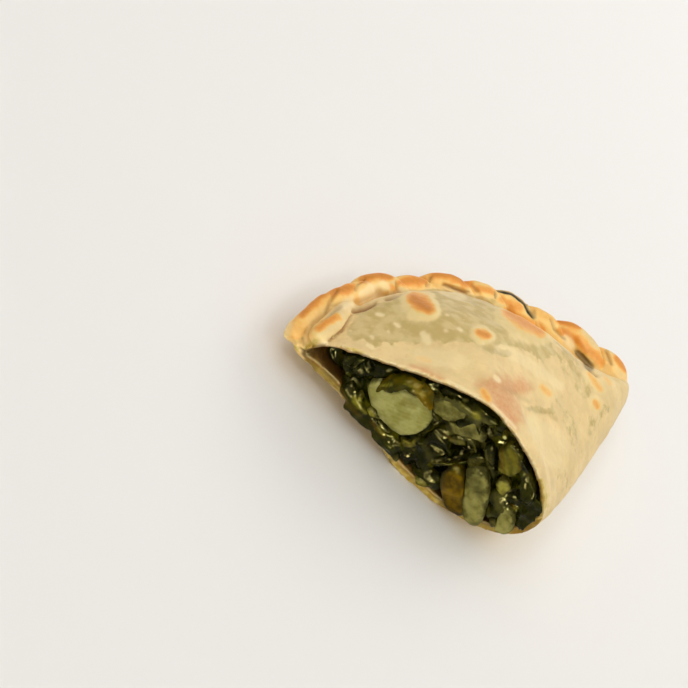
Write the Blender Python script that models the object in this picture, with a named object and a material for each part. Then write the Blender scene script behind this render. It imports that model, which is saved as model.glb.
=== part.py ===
"""Half of a baked empanada, cut across its middle, lying on its flat underside.

A disc of pastry is folded over a filling of chopped chard and onion, and its edge is turned
over on itself into a twisted rope. The cut shows the thin pastry all round, the dark heap of
chard that runs through the food, and the larger pieces of onion and stalk that lie in it.

The pastry is worked out in a frame whose origin is on the table below the cut's seam: +X runs
across the cut from the rope edge to the fold, +Y from the cut to the tip, +Z up. At the end
everything moves so that the origin is at the middle of the underside.
"""

import math
import random

import bmesh
import bpy
from mathutils import Matrix, Vector

MM = 0.001

# Driving dimensions, in millimetres and degrees
CUT_WIDTH = 54.8
SEAM_HEIGHT, SEAM_HEIGHT_AT_TIP = 6.9, 5.0
FOLD_HEIGHT, FOLD_HEIGHT_AT_TIP = 11.5, 5.5
SEAM_CENTRE = 62.0
SEAM_ACROSS, SEAM_ALONG = 62.0, 57.0
SEAM_SQUARENESS = 1.12
FOLD_LINE = ((54.8, 0.0), (57.8, 10.0), (60.5, 22.0), (63.0, 35.0), (65.1, 47.0), (65.6, 55.5), (64.3, 62.0))
CROWN_FALL = 0.75
CROWN_AT_TIP = 0.12
CROWN_FULLNESS = 0.6
PASTRY_THICKNESS = 1.6
THINNER_ABOVE = 0.3
CAVITY_END = 0.82
CLEARANCE = 0.3

# Outline of the cut as (x, z): from the seam over the crown, then from the fold underneath
CUT_CROWN = (
    (0.0, 6.9), (2.6, 12.2), (7.1, 15.6), (13.5, 19.3), (21.0, 23.6),
    (30.0, 26.9), (40.0, 25.3), (49.0, 21.2), (54.0, 15.6),
)
CUT_BASE = (
    (54.8, 11.0), (52.6, 6.4), (47.0, 2.8), (39.0, 0.7), (32.5, 0.0),
    (26.5, 0.9), (19.4, 3.4), (10.8, 4.5), (3.1, 4.9), (0.0, 6.9),
)
BASE_FLAT_AT_CUT, BASE_FLAT_BEHIND = 0.04, 0.42

# The rope edge: a round core with folds that wind round it, each from the outside up and over.
# A fold is (start and length along the rope, thickness, distance from the rope's middle).
ROPE_OUTSET_AT_CUT, ROPE_OUTSET_BEHIND = 2.0, 3.4
ROPE_CORE = 2.3
ROPE_LIFT = 0.4
BAND_INSET, BAND_WIDTH, BAND_FLATNESS = 1.7, 5.6, 0.42
FOLDS = (
    (-14.0, 29.5, 6.4, 2.8), (-0.5, 29.5, 6.2, 2.3), (23.0, 14.0, 5.4, 2.3),
    (33.0, 13.0, 4.2, 1.6), (42.0, 14.5, 5.0, 2.2), (52.5, 12.0, 4.8, 2.0), (60.0, 12.5, 4.7, 2.1),
    (68.5, 12.5, 4.4, 1.7), (77.0, 15.5, 5.0, 2.5), (87.5, 11.0, 5.0, 2.4),
)
FOLD_TURN = (-55.0, 205.0)
TIP_LOBE = (5.0, 4.2, 2.4)
# The slit that shows in the rope at the cut: middle, half sizes and tilt
ROPE_SLIT_MIDDLE = (-1.3, 0.0, 7.9)
ROPE_SLIT_SIZE = (2.3, 5.5, 0.5)
ROPE_SLIT_TILT = 38.0

LOFT_RINGS, RING_CORNERS, SHELL_END = 22, 40, 0.985
CAVITY_RINGS, CAVITY_CORNERS = 15, 30

# The heap of chard: how far its face lies behind the cut, and hollows (x, z, radius, depth)
HEAP_SET_BACK = 1.5
HOLLOWS = ((35.0, 15.5, 3.2, 3.0), (33.8, 22.0, 1.6, 1.5), (4.0, 8.0, 3.0, 3.0))
HEAP_GRID = (25, 13)
HEAP_SEED = 11
LEAF_GRID = (5, 3)
CHUNK_CORNERS, STRIP_STATIONS = 14, 11
LEAF_COLUMNS = (12, 7)
# Larger leaves as (x, y, z, length, width, turn, tilt, curl)
LARGE_LEAVES = (
    (9.0, 2.2, 11.5, 8.0, 5.5, 70.0, 25.0, 0.9),
    (11.5, 2.0, 7.0, 7.0, 4.5, 120.0, -30.0, 1.1),
    (31.8, 0.9, 9.8, 8.0, 6.0, 60.0, 15.0, 0.7),
    (48.5, 0.9, 18.5, 10.5, 4.5, 40.0, -35.0, 0.8),
    (50.5, 0.7, 13.2, 6.5, 5.0, 80.0, 25.0, 0.9),
    (22.5, 1.2, 20.0, 8.0, 3.6, 155.0, 40.0, 0.6),
)

PASTRY = "pastry"
FILLING = "filling"
PASTRY_COLOUR = ("baked_pastry", (0.78, 0.62, 0.36))
CHARD_COLOUR = ("cooked_chard", (0.045, 0.07, 0.02))
ONION_COLOUR = ("cooked_onion", (0.42, 0.42, 0.18))
STALK_COLOUR = ("chard_stalk", (0.40, 0.27, 0.04))
YELLOW_LEAF_COLOUR = ("yellow_leaf", (0.28, 0.24, 0.02))


# --- curves and small helpers ------------------------------------------------------------

def mix(low, high, share):
    return low + (high - low) * share


def smooth_step(share):
    share = min(1.0, max(0.0, share))
    return share * share * (3.0 - 2.0 * share)


def spline(points, count):
    """count points, evenly spaced, on a smooth curve through the given ones."""
    ends = [2 * Vector(points[0]) - Vector(points[1]), 2 * Vector(points[-1]) - Vector(points[-2])]
    knots = [ends[0], *map(Vector, points), ends[1]]
    fine = []
    steps = 24
    for i in range(1, len(knots) - 2):
        p0, p1, p2, p3 = knots[i - 1:i + 3]
        for k in range(steps):
            t = k / steps
            fine.append(0.5 * (2 * p1 + (p2 - p0) * t + (2 * p0 - 5 * p1 + 4 * p2 - p3) * t * t
                               + (3 * p1 - p0 - 3 * p2 + p3) * t ** 3))
    fine.append(knots[-2])
    lengths = [0.0]
    for a, b in zip(fine, fine[1:]):
        lengths.append(lengths[-1] + (b - a).length)
    result, at = [], 0
    for k in range(count):
        goal = lengths[-1] * k / (count - 1)
        while at < len(fine) - 2 and lengths[at + 1] < goal:
            at += 1
        step = lengths[at + 1] - lengths[at]
        result.append(fine[at].lerp(fine[at + 1], (goal - lengths[at]) / step))
    return result


def new_object(name, bm, colour, roughness=0.5):
    bmesh.ops.recalc_face_normals(bm, faces=bm.faces)
    mesh = bpy.data.meshes.new(name)
    bm.to_mesh(mesh)
    bm.free()
    mesh.transform(Matrix.Scale(MM, 4))
    obj = bpy.data.objects.new(name, mesh)
    bpy.context.scene.collection.objects.link(obj)
    material = bpy.data.materials.get(colour[0]) or bpy.data.materials.new(colour[0])
    material.use_nodes = True
    shader = material.node_tree.nodes["Principled BSDF"]
    shader.inputs["Base Color"].default_value = (*colour[1], 1.0)
    shader.inputs["Roughness"].default_value = roughness
    material.diffuse_color = (*colour[1], 1.0)
    mesh.materials.append(material)
    return obj


def loft(rings):
    """A closed body through rings of points, with a fan at each end."""
    bm = bmesh.new()
    loops = [[bm.verts.new(p) for p in ring] for ring in rings]
    count = len(rings[0])
    for lower, upper in zip(loops, loops[1:]):
        for i in range(count):
            j = (i + 1) % count
            bm.faces.new((lower[i], lower[j], upper[j], upper[i]))
    for loop in (loops[0], loops[-1]):
        middle = bm.verts.new(sum((v.co for v in loop), Vector()) / count)
        for i in range(count):
            bm.faces.new((loop[i], loop[(i + 1) % count], middle))
    return bm


def boolean(obj, others, operation, solver="EXACT"):
    """Joins others to obj, or cuts them from it, and removes them; INTERSECT takes a single one."""
    group = bpy.data.collections.new("operands")
    bpy.context.scene.collection.children.link(group)
    for other in others:
        group.objects.link(other)
    modifier = obj.modifiers.new(operation.lower(), "BOOLEAN")
    modifier.operation = operation
    modifier.solver = solver
    if len(others) == 1:
        modifier.object = others[0]
    else:
        modifier.operand_type = "COLLECTION"
        modifier.collection = group
    bpy.context.view_layer.update()
    applied = bpy.data.meshes.new_from_object(obj.evaluated_get(bpy.context.evaluated_depsgraph_get()))
    obj.modifiers.clear()
    obj.data = applied
    for other in others:
        bpy.data.objects.remove(other)
    bpy.data.collections.remove(group)


def tidy(obj):
    """Keeps only the largest body."""
    bm = bmesh.new()
    bm.from_mesh(obj.data)
    keep_largest_body(bm)
    bm.to_mesh(obj.data)
    bm.free()


def keep_largest_body(bm):
    bm.faces.ensure_lookup_table()
    unseen = set(bm.faces)
    bodies = []
    while unseen:
        front = [unseen.pop()]
        body = list(front)
        while front:
            face = front.pop()
            for edge in face.edges:
                for near in edge.link_faces:
                    if near in unseen:
                        unseen.discard(near)
                        front.append(near)
                        body.append(near)
        bodies.append(body)
    bodies.sort(key=len)
    scraps = [face for body in bodies[:-1] for face in body]
    bmesh.ops.delete(bm, geom=scraps, context="FACES")
    loose = [v for v in bm.verts if not v.link_faces]
    bmesh.ops.delete(bm, geom=loose, context="VERTS")


# --- the pastry's form -------------------------------------------------------------------

def seam_point(share, outset=0.0):
    """Where top and bottom pastry meet, from the cut (0) to the tip (1), moved outwards by outset."""
    turn = math.radians(90.0) * share
    across = SEAM_ACROSS + outset
    along = SEAM_ALONG + outset
    return Vector((
        SEAM_CENTRE - across * math.cos(turn) ** SEAM_SQUARENESS,
        along * math.sin(turn) ** SEAM_SQUARENESS,
        mix(SEAM_HEIGHT, SEAM_HEIGHT_AT_TIP, share),
    ))


FOLD_POINTS = spline([(x, y, 0.0) for x, y in FOLD_LINE], 60)


def fold_point(share):
    """The middle of the folded side, opposite the seam point of the same share."""
    line = FOLD_POINTS
    place = share ** 1.5 * (len(line) - 1)
    step = min(int(place), len(line) - 2)
    point = line[step].lerp(line[step + 1], place - step)
    point.z = mix(FOLD_HEIGHT, FOLD_HEIGHT_AT_TIP, smooth_step(share))
    return point


def crown_scale(share):
    turn = math.radians(90.0) * share
    return mix(CROWN_AT_TIP, 1.0, max(0.0, math.cos(turn)) ** CROWN_FALL)


def section(count):
    """The cut's outline as (share of width, height above the chord, share of the chord's height)."""
    outline = spline([(x, 0.0, z) for x, z in CUT_CROWN + CUT_BASE], count + 1)[:-1]
    result = []
    for p in outline:
        share = p.x / CUT_WIDTH
        chord = mix(SEAM_HEIGHT, FOLD_HEIGHT, share)
        result.append((share, p.z - chord, p.z / chord))
    return result


def ring(share, count, thickness=0.0, clearance=0.0):
    """The pastry's outline from the seam point round the fold and back; with a thickness it is
    the inside of the pastry, which is thinner above than below, and clearance moves it further in."""
    seam, fold = seam_point(share), fold_point(share)
    flat = mix(BASE_FLAT_AT_CUT, BASE_FLAT_BEHIND, smooth_step(share / 0.3))
    rise = crown_scale(share)
    fullness = 1.0 + CROWN_FULLNESS * (smooth_step((share - 0.1) / 0.18)
                                       - 1.4 * smooth_step((share - 0.5) / 0.3))
    across = (fold - seam).xy
    width = across.length
    flat_outline = []
    for part, above, below in section(count):
        chord = mix(seam.z, fold.z, part)
        if above > 0.0:
            part = part ** fullness
            height = mix(seam.z, fold.z, part) + above * rise
        else:
            height = chord * max(0.0, (below - flat) / (1.0 - flat))
        flat_outline.append(Vector((part * width, height)))
    if thickness:
        flat_outline = shrunk(flat_outline, thickness, clearance, THINNER_ABOVE)
    direction = across / width
    return [Vector((seam.x + direction.x * p.x, seam.y + direction.y * p.x, p.y)) for p in flat_outline]


def shrunk(outline, inset, more=0.0, less_above=0.0):
    """The closed outline, drawn clockwise, moved inwards, by less on its upper side."""
    count = len(outline)
    result = []
    for i, p in enumerate(outline):
        back = (p - outline[i - 1]).normalized()
        ahead = (outline[(i + 1) % count] - p).normalized()
        inward = Vector((back.y + ahead.y, -back.x - ahead.x))
        half = max(0.45, inward.length / 2.0)
        inward.normalize()
        result.append(p + inward * (inset * (1.0 + less_above * inward.y) + more) / half)
    return result


def shares(count, end):
    """Ring positions from the cut, closer together towards the tip."""
    return [end * (i / (count - 1)) ** 0.9 for i in range(count)]


def outer_body():
    return loft([ring(share, RING_CORNERS) for share in shares(LOFT_RINGS, SHELL_END)])


def hollow_body(clearance, rings, ahead):
    """The inside of the pastry, carried on ahead of the cut."""
    places = shares(CAVITY_RINGS, CAVITY_END)[:rings]
    loops = [ring(share, CAVITY_CORNERS, PASTRY_THICKNESS, clearance) for share in places]
    loops.insert(0, [p - Vector((0.0, ahead, 0.0)) for p in loops[0]])
    return loft(loops)


# --- the rope edge -----------------------------------------------------------------------

class Rope:
    """The line along the pastry's edge, measured by length from the cut."""

    def __init__(self):
        self.points = []
        for i in range(121):
            share = i / 120
            outset = mix(ROPE_OUTSET_AT_CUT, ROPE_OUTSET_BEHIND, smooth_step((share - 0.35) / 0.4))
            self.points.append(seam_point(share, outset) + Vector((0.0, 0.0, ROPE_LIFT)))
        self.lengths = [0.0]
        for a, b in zip(self.points, self.points[1:]):
            self.lengths.append(self.lengths[-1] + (b - a).length)

    def at(self, length):
        """(point, direction along, direction outwards), carried straight on past either end."""
        last = len(self.points) - 2
        i = 0
        while i < last and self.lengths[i + 1] < length:
            i += 1
        a, b = self.points[i], self.points[i + 1]
        along = (b - a).normalized()
        point = a + along * (length - self.lengths[i])
        outwards = Vector((-along.y, along.x, 0.0)).normalized()
        return point, along, outwards


def tube(centres, radii, sides, flatness, normals):
    """A closed tube of oval section; normals give the flat direction at each centre."""
    rings = []
    for i, centre in enumerate(centres):
        along = (centres[min(i + 1, len(centres) - 1)] - centres[max(i - 1, 0)]).normalized()
        up = (normals[i] - along * normals[i].dot(along)).normalized()
        side = along.cross(up)
        rings.append([
            centre + radii[i] * (up * (math.sin(turn) * flatness) + side * math.cos(turn))
            for turn in (math.tau * k / sides for k in range(sides))
        ])
    return loft(rings)


def rope_core(rope):
    stations = 26
    first, last = -3.0, rope.lengths[-1] - 1.0
    centres, radii, normals = [], [], []
    for i in range(stations):
        point, _, _ = rope.at(mix(first, last, i / (stations - 1)))
        centres.append(point)
        radii.append(ROPE_CORE)
        normals.append(Vector((0.0, 0.0, 1.0)))
    return tube(centres, radii, 8, 0.9, normals)


def seam_band(rope):
    """The pressed seam that joins the rope to the pastry."""
    stations = 26
    first, last = -3.0, rope.lengths[-1] - 2.0
    centres = []
    for i in range(stations):
        point, _, outwards = rope.at(mix(first, last, i / (stations - 1)))
        centres.append(point - outwards * BAND_INSET)
    radii = [BAND_WIDTH / 2.0] * stations
    return tube(centres, radii, 8, BAND_FLATNESS, [Vector((0.0, 0.0, 1.0))] * stations)


def rope_fold(rope, start, span, thickness, orbit):
    """One fold of the rope: from low on the outside, over the top, to the crown's side."""
    stations = 10
    centres, radii, normals = [], [], []
    for i in range(stations):
        share = i / (stations - 1)
        point, _, outwards = rope.at(start + span * share)
        turn = math.radians(mix(*FOLD_TURN, share))
        radial = outwards * math.cos(turn) + Vector((0.0, 0.0, math.sin(turn)))
        centres.append(point + radial * orbit)
        radii.append(thickness / 2.0 * math.sin(math.pi * mix(0.07, 0.93, share)) ** 0.55)
        normals.append(radial)
    return tube(centres, radii, 9, 0.78, normals)


def tip_lobe(rope):
    """The last flap of the rope, tucked round the corner of the folded side."""
    point, along, outwards = rope.at(rope.lengths[-1])
    bm = bmesh.new()
    bmesh.ops.create_icosphere(bm, subdivisions=2, radius=1.0)
    long, wide, high = TIP_LOBE
    axes = Matrix((along * long, outwards * wide, Vector((0.0, 0.0, high)))).transposed()
    bmesh.ops.transform(bm, matrix=axes.to_4x4(), verts=bm.verts)
    bmesh.ops.translate(bm, vec=point - along * 3.0 - outwards * 1.8, verts=bm.verts)
    return bm


def rope_slit():
    """The slit at the cut between the rope's last fold and the pastry under it."""
    bm = bmesh.new()
    bmesh.ops.create_icosphere(bm, subdivisions=2, radius=1.0)
    place = (Matrix.Translation(ROPE_SLIT_MIDDLE) @ Matrix.Rotation(math.radians(ROPE_SLIT_TILT), 4, "Y")
             @ Matrix.Diagonal((*ROPE_SLIT_SIZE, 1.0)))
    bmesh.ops.transform(bm, matrix=place, verts=bm.verts)
    return bm


def box(low, high):
    bm = bmesh.new()
    bmesh.ops.create_cube(bm, size=1.0)
    size = [h - l for l, h in zip(low, high)]
    middle = [(h + l) / 2 for l, h in zip(low, high)]
    bmesh.ops.scale(bm, vec=size, verts=bm.verts)
    bmesh.ops.translate(bm, vec=middle, verts=bm.verts)
    return bm


def make_pastry():
    rope = Rope()
    pastry = new_object(PASTRY, outer_body(), PASTRY_COLOUR, 0.55)
    bodies = [rope_core(rope), seam_band(rope), tip_lobe(rope)]
    bodies += [rope_fold(rope, *fold) for fold in FOLDS]
    boolean(pastry, [new_object("rope_piece", bm, PASTRY_COLOUR) for bm in bodies], "UNION")
    cavity = hollow_body(0.0, CAVITY_RINGS, 4.0)
    in_front = box((-30.0, -40.0, -20.0), (100.0, 0.0, 60.0))
    for name, cutter in (("cavity", cavity), ("rope_slit", rope_slit()), ("in_front", in_front)):
        boolean(pastry, [new_object(name, cutter, PASTRY_COLOUR)], "DIFFERENCE")
    tidy(pastry)
    return pastry


# --- the filling -------------------------------------------------------------------------

def section_at_cut(clearance):
    return [Vector((p.x, p.z)) for p in ring(0.0, RING_CORNERS, PASTRY_THICKNESS, clearance)]


def inside(point, outline):
    """Whether the point lies in the closed outline."""
    result = False
    for a, b in zip(outline, outline[1:] + outline[:1]):
        if (a.y > point.y) != (b.y > point.y):
            if point.x < a.x + (b.x - a.x) * (point.y - a.y) / (b.y - a.y):
                result = not result
    return result


def slab(outline, front, depth, clearance=0.0):
    """A rounded slab with a convex outline across the cut, from front (low y) back by its depth."""
    corners = [Vector((p.x, p.z)) for p in spline(
        [(x, 0.0, z) for x, z in outline + outline[:1]], CHUNK_CORNERS + 1)[:-1]]
    middle = sum(corners, Vector((0.0, 0.0))) / len(corners)
    if clearance:
        corners = [p + (p - middle).normalized() * clearance * 1.4 for p in corners]
    back = front + depth + clearance
    front -= clearance
    levels = ((front, 0.72), (front + 0.25, 0.9), (front + 0.9, 1.0), (back - 0.7, 1.0), (back, 0.85))
    rings = []
    for y, scale in levels:
        flat = [middle + (p - middle) * scale for p in corners]
        rings.append([Vector((p.x, y, p.y)) for p in flat])
    return loft(rings)


def strip(line, widths, thickness, clearance=0.0):
    """A limp strip of leaf that follows a line of (x, y, z)."""
    centres = spline(line, STRIP_STATIONS)
    radii, last = [], len(widths) - 1
    for i in range(STRIP_STATIONS):
        place = i / (STRIP_STATIONS - 1) * last
        step = min(int(place), last - 1)
        radii.append(mix(widths[step], widths[step + 1], place - step) / 2.0 + clearance)
    if clearance:
        centres[0] += (centres[0] - centres[1]).normalized() * clearance
        centres[-1] += (centres[-1] - centres[-2]).normalized() * clearance
    flatness = thickness / max(widths) + clearance / max(radii)
    return tube(centres, radii, 8, flatness, [Vector((0.0, 1.0, 0.0))] * STRIP_STATIONS)


def piece_body(piece, clearance=0.0):
    return piece[1](*piece[2:-1], clearance)


def leaf(centre, length, width, thickness, turn, tilt, curl, wave):
    """A wavy scrap of leaf, bent along its length, seen from the cut."""
    along, across = LEAF_GRID
    sheet = []
    for i in range(along):
        row = []
        for j in range(across):
            u, v = i / (along - 1) * 2.0 - 1.0, j / (across - 1) * 2.0 - 1.0
            narrow = 1.0 - 0.35 * u * u
            bend = curl * u
            row.append(Vector((
                length / 2.0 * (math.sin(bend) / curl if curl else u),
                length / 2.0 * (1.0 - math.cos(bend)) / curl + wave * math.sin(2.6 * u + 2.1 * v),
                width / 2.0 * v * narrow + 0.25 * width * math.sin(2.2 * u),
            )))
        sheet.append(row)
    place = (Matrix.Translation(centre) @ Matrix.Rotation(math.radians(turn), 4, "Y")
             @ Matrix.Rotation(math.radians(tilt), 4, "X"))
    bm = bmesh.new()
    sides = []
    for offset in (-thickness / 2.0, thickness / 2.0):
        sides.append([[bm.verts.new(place @ (p + Vector((0.0, offset, 0.0)))) for p in row]
                      for row in sheet])
    front, back = sides
    for i in range(along - 1):
        for j in range(across - 1):
            for side in sides:
                bm.faces.new((side[i][j], side[i + 1][j], side[i + 1][j + 1], side[i][j + 1]))
    rim = [(i, 0) for i in range(along)] + [(along - 1, j) for j in range(1, across)]
    rim += [(i, across - 1) for i in range(along - 2, -1, -1)] + [(0, j) for j in range(across - 2, 0, -1)]
    for (i, j), (k, m) in zip(rim, rim[1:] + rim[:1]):
        bm.faces.new((front[i][j], front[k][m], back[k][m], back[i][j]))
    return bm


def heap_face(x, z, dice):
    """How far behind the cut the heap's face lies."""
    hollow = 7.0 * smooth_step((9.5 - x) / 4.0)
    for cx, cz, radius, deep in HOLLOWS:
        away = math.hypot(x - cx, z - cz) / radius
        hollow += deep * smooth_step(1.3 - away)
    return HEAP_SET_BACK + hollow + dice.uniform(-0.7, 0.7)


def heap_block(dice):
    """A block behind the cut whose front is the lumpy face of the heap."""
    across, up = HEAP_GRID
    bm = bmesh.new()
    face, rear = [], []
    for i in range(across):
        x = mix(-2.0, 57.0, i / (across - 1))
        columns = [mix(-2.0, 29.0, j / (up - 1)) for j in range(up)]
        face.append([bm.verts.new((x, heap_face(x, z, dice), z)) for z in columns])
        rear.append([bm.verts.new((x, 80.0, z)) for z in columns])
    for i in range(across - 1):
        for j in range(up - 1):
            for side in (face, rear):
                bm.faces.new((side[i][j], side[i + 1][j], side[i + 1][j + 1], side[i][j + 1]))
    rim = [(i, 0) for i in range(across)] + [(across - 1, j) for j in range(1, up)]
    rim += [(i, up - 1) for i in range(across - 2, -1, -1)] + [(0, j) for j in range(up - 2, 0, -1)]
    for (i, j), (k, m) in zip(rim, rim[1:] + rim[:1]):
        bm.faces.new((face[i][j], face[k][m], rear[k][m], rear[i][j]))
    for vertex in bm.verts:
        if vertex.co.y > 79.0:
            vertex.co.x = mix(-2.0, 75.0, (vertex.co.x + 2.0) / 59.0)
    return bm


def scattered_leaves(dice):
    """Scraps of chard over the heap's face, none over a larger piece."""
    room = section_at_cut(1.2)
    taken = [[Vector(p) for p in piece[2]] for piece in PIECES if piece[1] is slab]
    leaves = []
    across, up = LEAF_COLUMNS
    for i in range(across):
        for j in range(up):
            x = mix(8.5, 53.5, i / (across - 1)) + dice.uniform(-1.2, 1.2)
            z = mix(2.0, 26.0, (j + 0.5 * (i % 2)) / (up - 1)) + dice.uniform(-1.0, 1.0)
            spot = Vector((x, z))
            numbers = [dice.random() for _ in range(6)]
            if not inside(spot, room) or any(inside(spot, outline) for outline in taken):
                continue
            face = HEAP_SET_BACK - 0.4 + 7.0 * smooth_step((9.5 - x) / 4.0)
            leaves.append(leaf(
                Vector((x, face + 0.8 * numbers[0], z)),
                mix(5.0, 7.5, numbers[1]), mix(3.0, 4.6, numbers[2]), 0.7,
                mix(0.0, 180.0, numbers[3]), mix(-65.0, 65.0, numbers[4]),
                mix(0.5, 1.5, numbers[5]), 0.45))
    for x, y, z, length, width, turn, tilt, curl in LARGE_LEAVES:
        leaves.append(leaf(Vector((x, y, z)), length, width, 0.8, turn, tilt, curl, 0.5))
    return leaves


# Pieces as large as a berry as (name, maker, its arguments, colour)
PIECES = (
    ("onion_large", slab, ((13.0, 10.4), (16.0, 7.7), (19.8, 6.4), (22.6, 6.2), (24.9, 7.2), (26.3, 9.6),
                           (26.6, 12.4), (25.4, 14.8), (22.4, 15.9), (18.0, 15.4), (14.6, 13.2)),
     0.7, 3.0, ONION_COLOUR),
    ("onion_mid", slab, ((24.4, 18.3), (26.6, 17.3), (29.4, 17.3), (31.2, 19.2), (31.2, 21.8),
                         (29.2, 22.6), (26.4, 21.2)), 0.5, 2.8, ONION_COLOUR),
    ("onion_back", slab, ((30.2, 15.6), (32.6, 16.2), (35.2, 18.2), (35.4, 19.8), (33.4, 19.9),
                          (31.4, 17.9)), 0.6, 2.6, ONION_COLOUR),
    ("onion_low", slab, ((38.6, 12.0), (39.2, 14.8), (40.8, 15.8), (43.1, 13.2), (45.8, 9.2), (46.6, 6.8),
                         (45.2, 5.6), (42.2, 7.2)), -1.6, 3.4, ONION_COLOUR),
    ("onion_corner", slab, ((47.0, 12.8), (48.4, 13.6), (50.4, 11.4), (51.2, 9.6), (50.4, 8.2),
                            (48.9, 8.0), (47.6, 10.0)), -1.6, 3.2, ONION_COLOUR),
    ("stalk", slab, ((34.4, 10.8), (35.4, 12.0), (37.2, 11.0), (39.4, 8.2), (41.2, 6.2), (42.2, 4.6),
                     (40.2, 3.8), (37.6, 5.0), (35.4, 8.0)), -1.8, 3.4, STALK_COLOUR),
    ("stem", slab, ((38.6, 20.4), (39.0, 22.4), (41.4, 22.2), (43.4, 20.5), (43.0, 18.2), (41.4, 17.0),
                    (39.6, 18.4)), -0.6, 3.0, YELLOW_LEAF_COLOUR),
    ("leaf_yellow", strip, ((13.4, -0.3, 12.6), (15.6, -0.7, 13.2), (18.4, -0.9, 15.4),
                            (20.8, -0.8, 17.0), (23.8, -0.5, 16.4)),
     (1.6, 4.2, 4.6, 3.2, 1.8), 1.3, YELLOW_LEAF_COLOUR),
)


def make_filling():
    dice = random.Random(HEAP_SEED)
    filling = new_object(FILLING, heap_block(dice), CHARD_COLOUR, 0.3)
    leaves = [new_object("leaf", bm, CHARD_COLOUR) for bm in scattered_leaves(dice)]
    boolean(filling, leaves, "UNION")
    room = hollow_body(CLEARANCE, CAVITY_RINGS - 1, 2.0)
    boolean(filling, [new_object("room", room, CHARD_COLOUR)], "INTERSECT", "MANIFOLD")
    pockets = [new_object("pocket", piece_body(piece, CLEARANCE), CHARD_COLOUR) for piece in PIECES]
    boolean(filling, pockets, "DIFFERENCE", "MANIFOLD")
    tidy(filling)
    return [filling] + [new_object(piece[0], piece_body(piece), piece[-1], 0.3) for piece in PIECES]


def make_all():
    for old in list(bpy.data.objects):
        bpy.data.objects.remove(old)
    pieces = [make_pastry(), *make_filling()]
    corners = [v.co for piece in pieces for v in piece.data.vertices]
    low = Vector(min(c[axis] for c in corners) for axis in range(3))
    high = Vector(max(c[axis] for c in corners) for axis in range(3))
    origin = Vector(((low.x + high.x) / 2.0, (low.y + high.y) / 2.0, low.z))
    for piece in pieces:
        piece.data.transform(Matrix.Translation(-origin))
        for face in piece.data.polygons:
            face.use_smooth = True


make_all()
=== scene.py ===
"""Looks of half a chard empanada: baked pastry with its rope edge, and the wet filling in the cut.

The forms are worked out in millimetres in the part's design frame: origin on the table below the
cut's seam, +X across the cut from the rope edge to the fold, +Y from the cut to the tip, +Z up.
"""

import math

import bmesh
import bpy
import numpy as np
from mathutils import Matrix, Vector
from mathutils.bvhtree import BVHTree
from mathutils.kdtree import KDTree


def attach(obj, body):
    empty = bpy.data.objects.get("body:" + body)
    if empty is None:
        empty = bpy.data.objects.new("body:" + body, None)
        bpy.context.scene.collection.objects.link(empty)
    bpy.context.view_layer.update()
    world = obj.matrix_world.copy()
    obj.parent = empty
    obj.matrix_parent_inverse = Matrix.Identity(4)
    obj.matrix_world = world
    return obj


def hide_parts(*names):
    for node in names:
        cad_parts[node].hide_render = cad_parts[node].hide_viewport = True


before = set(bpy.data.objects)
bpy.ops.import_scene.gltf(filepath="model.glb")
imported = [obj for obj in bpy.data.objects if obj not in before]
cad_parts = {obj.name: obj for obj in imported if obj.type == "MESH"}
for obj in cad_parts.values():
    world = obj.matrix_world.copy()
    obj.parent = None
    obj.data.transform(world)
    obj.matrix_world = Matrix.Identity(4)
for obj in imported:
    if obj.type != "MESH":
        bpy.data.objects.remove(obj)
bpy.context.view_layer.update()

MM = 0.001
ORIGIN = np.array((29.760, 31.127, 0.0))  # of the part's frame, in the design frame

# --- sizes shared with the part's source, in millimetres ---------------------------------

CUT_WIDTH = 54.8
SEAM_HEIGHT, SEAM_HEIGHT_AT_TIP = 6.9, 5.0
FOLD_HEIGHT, FOLD_HEIGHT_AT_TIP = 11.5, 5.5
SEAM_CENTRE, SEAM_ACROSS, SEAM_ALONG, SEAM_SQUARENESS = 62.0, 62.0, 57.0, 1.12
FOLD_LINE = ((54.8, 0.0), (57.8, 10.0), (60.5, 22.0), (63.0, 35.0), (65.1, 47.0), (65.6, 55.5), (64.3, 62.0))
CROWN_FALL, CROWN_AT_TIP, CROWN_FULLNESS = 0.75, 0.12, 0.6
PASTRY_THICKNESS, THINNER_ABOVE = 1.6, 0.3
CUT_CROWN = (
    (0.0, 6.9), (2.6, 12.2), (7.1, 15.6), (13.5, 19.3), (21.0, 23.6),
    (30.0, 26.9), (40.0, 25.3), (49.0, 21.2), (54.0, 15.6),
)
CUT_BASE = (
    (54.8, 11.0), (52.6, 6.4), (47.0, 2.8), (39.0, 0.7), (32.5, 0.0),
    (26.5, 0.9), (19.4, 3.4), (10.8, 4.5), (3.1, 4.9), (0.0, 6.9),
)
BASE_FLAT_AT_CUT, BASE_FLAT_BEHIND = 0.04, 0.42
ROPE_OUTSET_AT_CUT, ROPE_OUTSET_BEHIND = 2.0, 3.4
ROPE_CORE, ROPE_LIFT = 2.3, 0.4
BAND_INSET, BAND_WIDTH, BAND_FLATNESS = 1.7, 5.6, 0.42
# Folds of the rope as (start and length along it, thickness, distance from its middle)
FOLDS = (
    (23.0, 14.0, 5.4, 2.3), (33.0, 13.0, 4.2, 1.6), (42.0, 14.5, 5.0, 2.2), (52.5, 12.0, 4.8, 2.0),
    (60.0, 12.5, 4.7, 2.1), (68.5, 12.5, 4.4, 1.7), (77.0, 15.5, 5.0, 2.5), (87.5, 11.0, 5.0, 2.4),
)
FOLD_TURN, FOLD_FLATNESS = (-55.0, 205.0), 0.78
TIP_LOBE, TIP_LOBE_BACK, TIP_LOBE_IN = (5.0, 4.2, 2.4), 3.0, 1.8

# --- looks -------------------------------------------------------------------------------

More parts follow.
